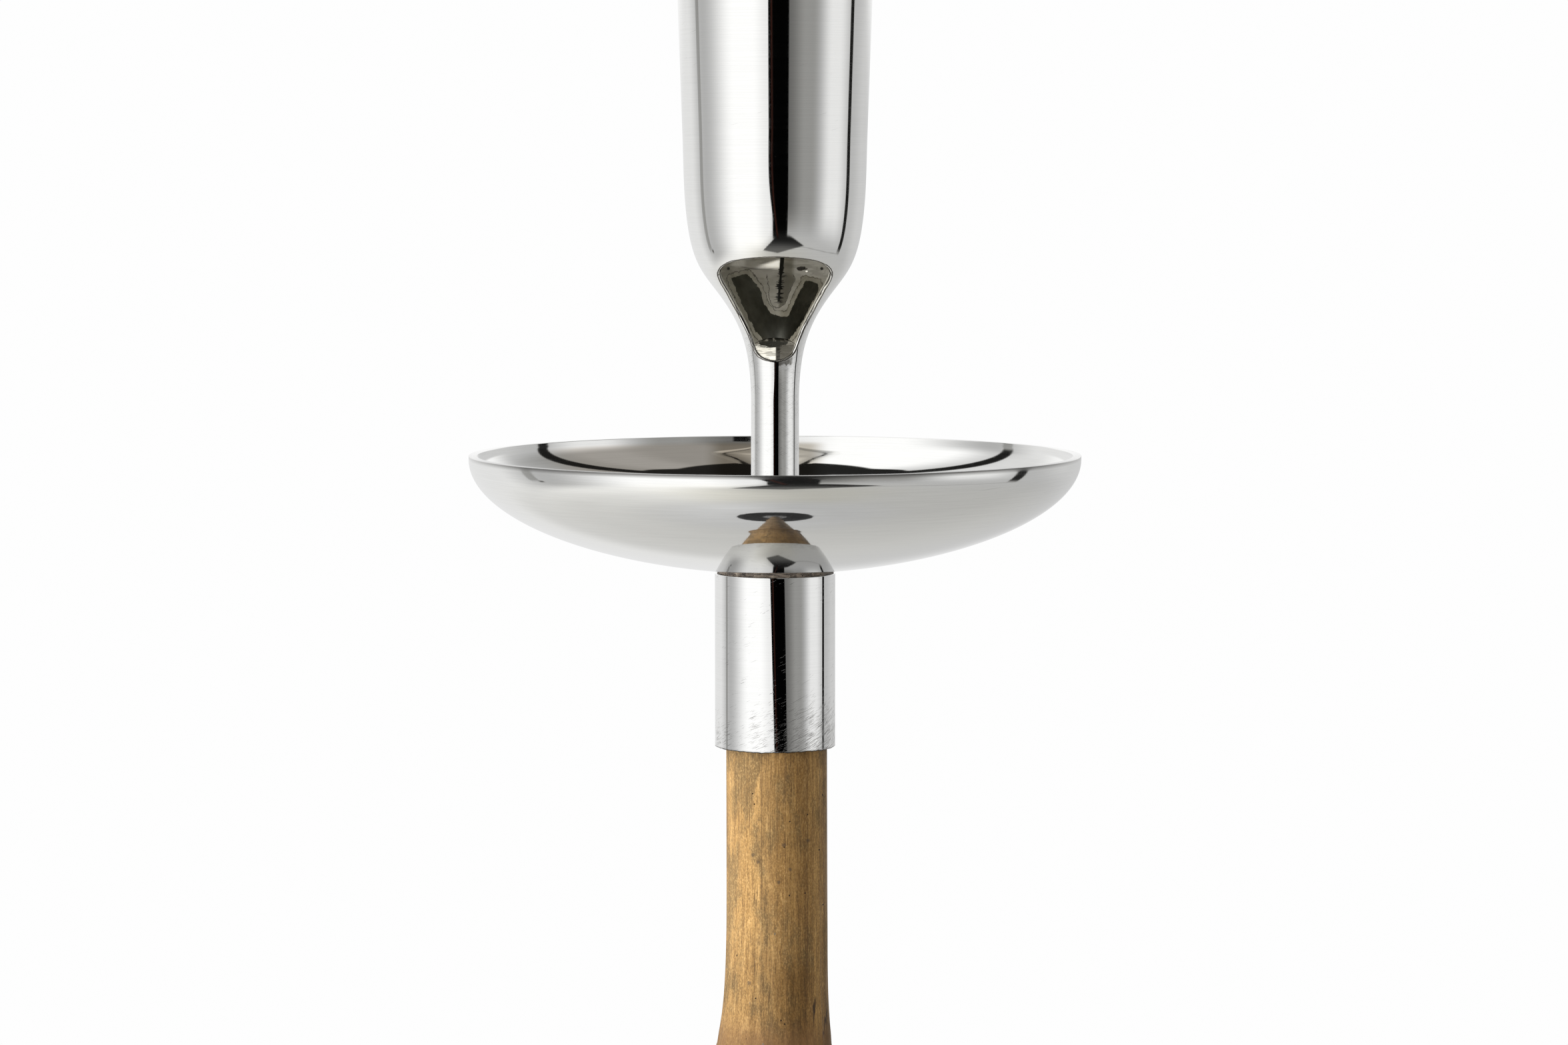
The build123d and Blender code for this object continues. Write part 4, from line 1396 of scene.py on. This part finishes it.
    # painted shade: the skin is darker where it is seen in reflections, standing in for the pan's shadow on
    # it
    reflected_shade = net.add("LightPath", out=3)
    base = net.tint(net.times(reflected_shade, 0.55), base, (0.0, 0.0, 0.0, 1))
    relief = net.plus(
        net.plus(net.times(fibres, 0.5), net.times(hairs, 0.35)),
        net.minus(net.times(strands, 0.8), net.times(pins, 2.0)),
    )
    rough = net.plus(net.rise(clouds, 0.35, 0.7, 0.42, 0.58), net.times(fibres, 0.1))
    return {"Base Color": base, "Roughness": rough, "Normal": net.add("Bump", 0.5, 0.00012, None, relief)}


def build_dowel(net):
    """Plain hardwood with straight grain along the rod."""
    place = net.object_place()
    grain = net.grain(place, (900.0, 900.0, 30.0), 3.0, 0.6)
    base = net.tint(net.rise(grain, 0.35, 0.65), (0.56, 0.38, 0.20, 1), (0.40, 0.25, 0.12, 1))
    return {
        "Base Color": base,
        "Roughness": net.rise(grain, 0.3, 0.7, 0.5, 0.7),
        "Normal": net.add("Bump", 0.5, 0.0001, None, grain),
    }


def build_washer(net):
    """Fibre washer: grey brown, with dark pits and pale torn layers."""
    place = net.object_place()
    crumbs = net.grain(place, (700.0, 700.0, 1500.0), 4.0, 0.7)
    layers = net.grain(place, (260.0, 260.0, 3200.0), 3.0, 0.6)
    base = net.tint(net.rise(layers, 0.40, 0.62), (0.085, 0.066, 0.052, 1), (0.330, 0.270, 0.215, 1))
    base = net.tint(net.rise(crumbs, 0.56, 0.66), base, (0.018, 0.012, 0.009, 1))
    base = net.tint(net.rise(crumbs, 0.42, 0.32), base, (0.520, 0.450, 0.360, 1))
    relief = net.plus(crumbs, layers)
    return {
        "Base Color": base,
        "Roughness": net.rise(layers, 0.3, 0.7, 0.38, 0.6),
        "Normal": net.add("Bump", 1.0, 0.0002, None, relief),
    }


def build_leather(net):
    """The pad in the socket: plain leather with a small pebble."""
    place = net.object_place()
    pebble = net.noise(place, 900.0, 3.0, 0.6)
    base = net.tint(net.rise(pebble, 0.4, 0.6), (0.10, 0.055, 0.03, 1), (0.19, 0.11, 0.06, 1))
    return {
        "Base Color": base,
        "Roughness": net.rise(pebble, 0.3, 0.7, 0.5, 0.7),
        "Normal": net.add("Bump", 0.7, 0.0003, None, pebble),
    }


def build_plate(net):
    """Satin black paint with a fine orange peel, a breath of dust on top, and thin rubs along the rim."""
    place = net.object_place()
    x, y, _ = net.split(place)
    radius = net.length(x, y)
    peel = net.noise(place, 850.0, 2.0, 0.5)
    dust = net.noise(place, 60.0, 4.0, 0.65)
    rubs = net.grain(place, (260.0, 260.0, 900.0), 3.0, 0.7)
    rim = net.rise(radius, 0.1385, 0.1415)
    base = net.tint(net.rise(dust, 0.45, 0.75, 0.0, 0.3), (0.012, 0.012, 0.013, 1), (0.045, 0.043, 0.040, 1))
    base = net.tint(net.times(rim, net.rise(rubs, 0.6, 0.68, 0.0, 0.5)), base, (0.110, 0.105, 0.100, 1))
    return {
        "Base Color": base,
        "Roughness": net.rise(dust, 0.35, 0.7, 0.3, 0.46),
        "Normal": net.add("Bump", 0.25, 0.0002, None, peel),
    }


def build_felt(net):
    """Pressed wool felt: short crossed hairs and soft clumps."""
    place = net.object_place()
    hairs = net.noise(place, 2600.0, 3.0, 0.7, 1.5)
    clumps = net.noise(place, 260.0, 3.0, 0.6)
    base = net.tint(net.rise(hairs, 0.35, 0.65), (0.012, 0.016, 0.013, 1), (0.050, 0.060, 0.050, 1))
    base = net.tint(net.rise(clumps, 0.4, 0.7, 0.0, 0.4), base, (0.028, 0.034, 0.028, 1))
    return {
        "Base Color": base,
        "Roughness": net.rise(hairs, 0.3, 0.7, 0.85, 1.0),
        "Normal": net.add("Bump", 0.9, 0.0004, None, net.plus(hairs, clumps)),
    }


polished_steel = make_finish("polished_steel", build_polished, Emission_Strength=1.0)
ferrule_steel = make_finish("ferrule_steel", build_ferrule, Metallic=1.0)
socket_steel = make_finish("socket_steel", build_socket, Metallic=1.0)
screw_steel = make_finish("screw_steel", build_machined, Metallic=1.0)
bamboo_skin = make_finish("bamboo", build_bamboo, Specular_IOR_Level=0.2)
dowel_wood = make_finish("dowel_wood", build_dowel)
washer_fibre = make_finish("washer_fibre", build_washer)
pad_leather = make_finish("leather", build_leather)
black_paint = make_finish("black_plate", build_plate)
wool_felt = make_finish("felt", build_felt, Sheen_Weight=0.4, Sheen_Roughness=0.5)

for piece in (pan_piece, cup_piece, stem_piece):
    wear(piece, polished_steel)
wear(ferrule_piece, ferrule_steel)
wear(washer_piece, washer_fibre)
wear(bamboo_piece, bamboo_skin)
wear(base_pieces["socket"], socket_steel)
wear(base_pieces["foot"], socket_steel)
wear(base_pieces["plate"], black_paint)
wear(base_pieces["felt"], wool_felt)

node_finish = {
    "base_felt": wool_felt,
    "base_plate": black_paint,
    "socket_flange": screw_steel,
    "socket_tube": screw_steel,
    "flange_screws": screw_steel,
    "socket_pad": pad_leather,
    "foot_ferrule": screw_steel,
    "foot_plug": screw_steel,
    "bamboo_pole": bamboo_skin,
    "foot_dowel": dowel_wood,
    "head_dowel": dowel_wood,
    "head_ferrule": screw_steel,
    "ferrule_plug": screw_steel,
    "pan_washer": washer_fibre,
    "drip_pan": screw_steel,
    "head_stud": screw_steel,
    "stem_rod": screw_steel,
    "cup_shell": screw_steel,
}
for node, finish in node_finish.items():
    wear(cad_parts[node], finish)

# ---------------------------------------------------------------- studio

steel_shine = 0.915
# what stands round the object, from straight behind over the left, the front and the right to behind again:
# (where the change to it starts, where it ends, its tone), in degrees from the front
back_wall = 0.87
upper_wall = 0.84
eye_level_surfaces = (
    (-129, -97, 0.68),  # wall in the shade of the left softbox
    (-97, -50, 1.0),  # left softbox
    (-28, -8, 0.92),  # its dimmer edge
    (-8, 8, 0.40),  # beside the gap
    (16, 38, 0.56),  # near half of the right softbox
    (46, 74, 0.89),  # its far half
    (84, 110, 0.70),  # wall in its shade
    (110, 140, 0.77),  # right wall
    (168, 180, back_wall),
)
upper_surfaces = (
    (-118, -104, 0.80),
    (-104, -78, 1.0),
    (-28, -8, 0.92),
    (-8, 8, 0.57),
    (52, 72, 0.62),
    (84, 100, 0.57),
    (105, 165, upper_wall),
)


def build_studio(net):
    """Brightness of the studio by direction, as a tone from 0 to 1: two big softboxes that lean over the
    object with a dark gap between them, their dark frames, a black ceiling, and pale walls and floor all
    round."""
    x, y, z = net.split(net.add("TexCoord"))
    front = net.times(y, -1.0)
    turn = net.times(net.math("ARCTAN2", x, front), 180 / math.pi)
    lift = net.times(net.math("ARCSINE", z), 180 / math.pi)
    level = net.walk(turn, back_wall, *eye_level_surfaces)
    above = net.walk(turn, upper_wall, *upper_surfaces)
    tone = net.blend(net.rise(lift, 0, 22), level, above)
    # the floor's glow has its peak at the left softbox and fades from there all the way round
    from_bright = net.add("Math", net.plus(turn, 55.0), 180.0, -180.0, operation="WRAP")
    glow_end = net.rise(lift, -36, -52, 60.0, 80.0)
    glow = net.times(net.add("MapRange", from_bright, -180.0, 0.0), net.rise(from_bright, glow_end, 5.0))
    glow_power = net.minus(net.rise(lift, -36, -52, 0.25, 0.175), net.rise(lift, -52, -70, 0.0, 0.075))
    below = net.plus(0.69, net.times(glow_power, glow))
    # the floor reaches up higher on the right
    leftward = net.rise(turn, 12, -22)
    below_from, below_to = net.minus(-8, net.times(leftward, 17)), net.minus(-25, net.times(leftward, 12))
    tone = net.blend(net.rise(lift, below_from, below_to), tone, below)
    tone = net.blend(net.rise(lift, -76, -88), tone, 0.725)
    # a bright corner high up behind on the left, and a bright strip of the back wall
    ceiling_left = net.times(net.rise(turn, -118, -134), net.rise(lift, 44, 58))
    tone = net.blend(ceiling_left, tone, 0.98)
    rear = net.times(
        net.rise(net.math("ABSOLUTE", turn), 128, 150),
        net.times(net.rise(lift, -0.5, 2), net.rise(lift, 26, 14)),
    )
    tone = net.blend(rear, tone, 0.95)

    # the dark gap between the softboxes, with an ember red line in it
    raised = net.math("MAXIMUM", z, 0.0)
    gap_lean = net.rise(lift, -2, -15, 0.140, 0.050)
    gap_left = net.rise(
        net.plus(x, net.plus(net.times(front, gap_lean), net.times(raised, 0.09))), -0.006, 0.01
    )
    gap_right = net.rise(net.minus(x, net.times(front, net.rise(lift, 1, 6, 0.30, 0.08))), 0.012, -0.012)
    gap_foot = net.rise(lift, -25, -22)
    gap = net.times(net.times(gap_left, gap_right), net.times(gap_foot, net.rise(front, 0.0, 0.02)))
    tone = net.blend(gap, tone, net.rise(lift, -26, -14, 0.13, 0.035))
    ember = net.times(gap, net.band(net.plus(turn, net.times(lift, 0.4)), -5.0, 1.1, 0.8))
    tone = net.blend(ember, tone, 0.19)
    # the gap's foot spreads out as a dark kite
    foot_low = net.math(
        "MAXIMUM", net.minus(-35.6, net.times(turn, 0.145)), net.plus(-37.2, net.times(turn, 0.227))
    )
    foot_high = net.math(
        "MINIMUM", net.plus(-23.1, net.times(turn, 0.5625)), net.minus(-15.4, net.times(turn, 0.286))
    )
    foot = net.times(
        net.rise(net.minus(lift, foot_low), -0.8, 0.8), net.rise(net.minus(lift, foot_high), 0.8, -0.8)
    )
    foot = net.times(foot, net.rise(lift, -20, -23))
    tone = net.blend(foot, tone, net.rise(lift, -23, -33, 0.12, 0.36))

    # the outer frame line of each softbox
    side = net.blend(net.rise(x, -0.01, 0.01), -106.0, 105.6)
    width = net.rise(lift, -4, 45, 3.0, 4.3)
    strong = net.blend(net.rise(x, -0.01, 0.01), net.rise(lift, -14, 6, 0.0, 1.0), net.rise(lift, -25, -19))
    strong = net.blend(
        net.times(net.rise(x, 0.01, -0.01), net.rise(lift, 8, -2)),
        strong,
        net.rise(lift, -24, -19, 0.0, 0.24),
    )
    frame_line = net.times(net.band(turn, side, width, 0.8), strong)
    tone = net.blend(frame_line, tone, 0.13)
    # the right softbox's lower edge, and a small dark mark below the left one's frame
    lower_edge = net.plus(
        -28.6, net.times(net.math("POWER", net.math("MAXIMUM", net.minus(turn, 60.0), 0.0), 2.0), 0.0023)
    )
    lower_line = net.times(
        net.band(lift, lower_edge, 0.15, 0.5), net.times(net.rise(turn, 38, 44), net.rise(turn, 112, 106))
    )
    tone = net.blend(lower_line, tone, net.times(tone, 0.72))
    left_tick = net.times(net.band(turn, -102.6, 1.2, 1.2), net.band(lift, -22.6, 1.0, 1.0))
    tone = net.blend(left_tick, tone, 0.3)
    # the black ceiling
    over = net.rise(net.minus(lift, net.rise(net.math("ABSOLUTE", turn), 80, 100, 67.5, 61.0)), -1.0, 1.0)
    over = net.times(over, net.rise(net.math("ABSOLUTE", turn), 112, 106))
    over = net.math("MAXIMUM", over, net.rise(lift, 77, 80))
    tone = net.blend(over, tone, 0.15)

    # the floor and dim surfaces are warm, and dull pieces get a soft key light from the left
    warm = net.times(net.rise(lift, -14, -45), net.rise(lift, -76, -58))
    warm = net.math(
        "MAXIMUM",
        net.times(warm, net.rise(net.math("ABSOLUTE", turn), 70, 20, 0.35, 1.0)),
        net.times(net.rise(tone, 0.7, 0.5), 0.45),
    )
    light = net.times(net.math("POWER", tone, 2.2), 1 / steel_shine)
    key = net.times(net.band(turn, -64.0, 62.0, 22.0), net.rise(lift, -70, -20))
    soft = net.plus(net.blend(key, 0.25, 2.1), net.rise(lift, 30, 75, 0.0, 0.5))
    shade = net.tint(warm, (1, 1, 1, 1), (1.0, 0.98, 0.90, 1))
    return net.tint(ember, shade, (1.0, 0.30, 0.20, 1)), light, soft


def make_studio():
    """The world: plain white to the camera, the studio to shiny surfaces, and its soft light from the
    left to dull ones."""
    world = bpy.data.worlds.new("studio")
    world.use_nodes = True
    bpy.context.scene.world = world
    net = Net(world.node_tree)
    colour_of, light, soft = build_studio(net)
    path = net.tree.nodes.new("ShaderNodeLightPath")
    power = net.blend(path.outputs["Is Diffuse Ray"], light, soft)
    studio = net.add("Background", colour_of, power)
    backdrop = net.add("Background", (1, 1, 1, 1), 0.99)
    mixed = net.add("MixShader", path.outputs["Is Camera Ray"], studio, backdrop)
    net.put(net.tree.nodes.new("ShaderNodeOutputWorld").inputs[0], mixed)


def make_floor():
    """A round pale floor that fades into the white all round it, and holds the soft shadow of the base."""
    rings, columns = 40, 160
    floor_radius, floor_height = 1700, -0.2
    radius = np.linspace(0, floor_radius, rings)
    line = np.stack([radius[::-1], np.full(rings, floor_height)], 1)
    points, _, faces, _ = welded([(*turned(line, np.tile([0.0, 1.0], (rings, 1)), columns), 0.0, 0.0)])
    mesh = bpy.data.meshes.new("floor")
    mesh.from_pydata(
        (points * MM).tolist(),
        [],
        [list(dict.fromkeys(face)) for face in faces.tolist() if len(set(face)) > 2],
    )
    floor = bpy.data.objects.new("floor", mesh)
    bpy.context.scene.collection.objects.link(floor)
    material = bpy.data.materials.new("floor")
    material.use_nodes = True
    net = Net(material.node_tree)
    x, y, _ = net.split(net.object_place())
    far = net.rise(net.length(x, y), 0.35, 1.45)
    matt = net.tree.nodes.new("ShaderNodeBsdfPrincipled")
    matt.inputs["Base Color"].default_value = (0.86, 0.86, 0.855, 1)
    matt.inputs["Roughness"].default_value = 0.9
    glow = net.add("Emission", (0.99, 0.99, 0.99, 1), 1.0)
    net.put(
        net.tree.nodes.new("ShaderNodeOutputMaterial").inputs[0],
        net.add("MixShader", far, matt.outputs[0], glow),
    )
    mesh.materials.append(material)
    floor.visible_glossy = floor.visible_diffuse = False


make_studio()
make_floor()

# ---------------------------------------------------------------- camera

mm_per_pixel = 0.1655
focal_pixels = 6845.0
image_width = 2352
rim_pixels_below_eye = 460.2
axis_pixels_left = 13.5
camera_distance = focal_pixels * mm_per_pixel
camera_height = pan_rim + rim_pixels_below_eye * mm_per_pixel
camera_pitch = 4.65
axis_left_of_centre = axis_pixels_left * mm_per_pixel

camera_data = bpy.data.cameras.new("camera")
camera_data.sensor_width = 36.0
camera_data.lens = focal_pixels / image_width * camera_data.sensor_width
camera_data.clip_end = 100
camera = bpy.data.objects.new("camera", camera_data)
camera.location = (axis_left_of_centre * MM, -camera_distance * MM, camera_height * MM)
camera.rotation_euler = (math.radians(90 - camera_pitch), 0, 0)
bpy.context.scene.collection.objects.link(camera)
bpy.context.scene.camera = camera
bpy.context.scene.view_settings.view_transform = "Standard"
bpy.context.scene.cycles.max_bounces = 16
bpy.context.scene.cycles.glossy_bounces = 12
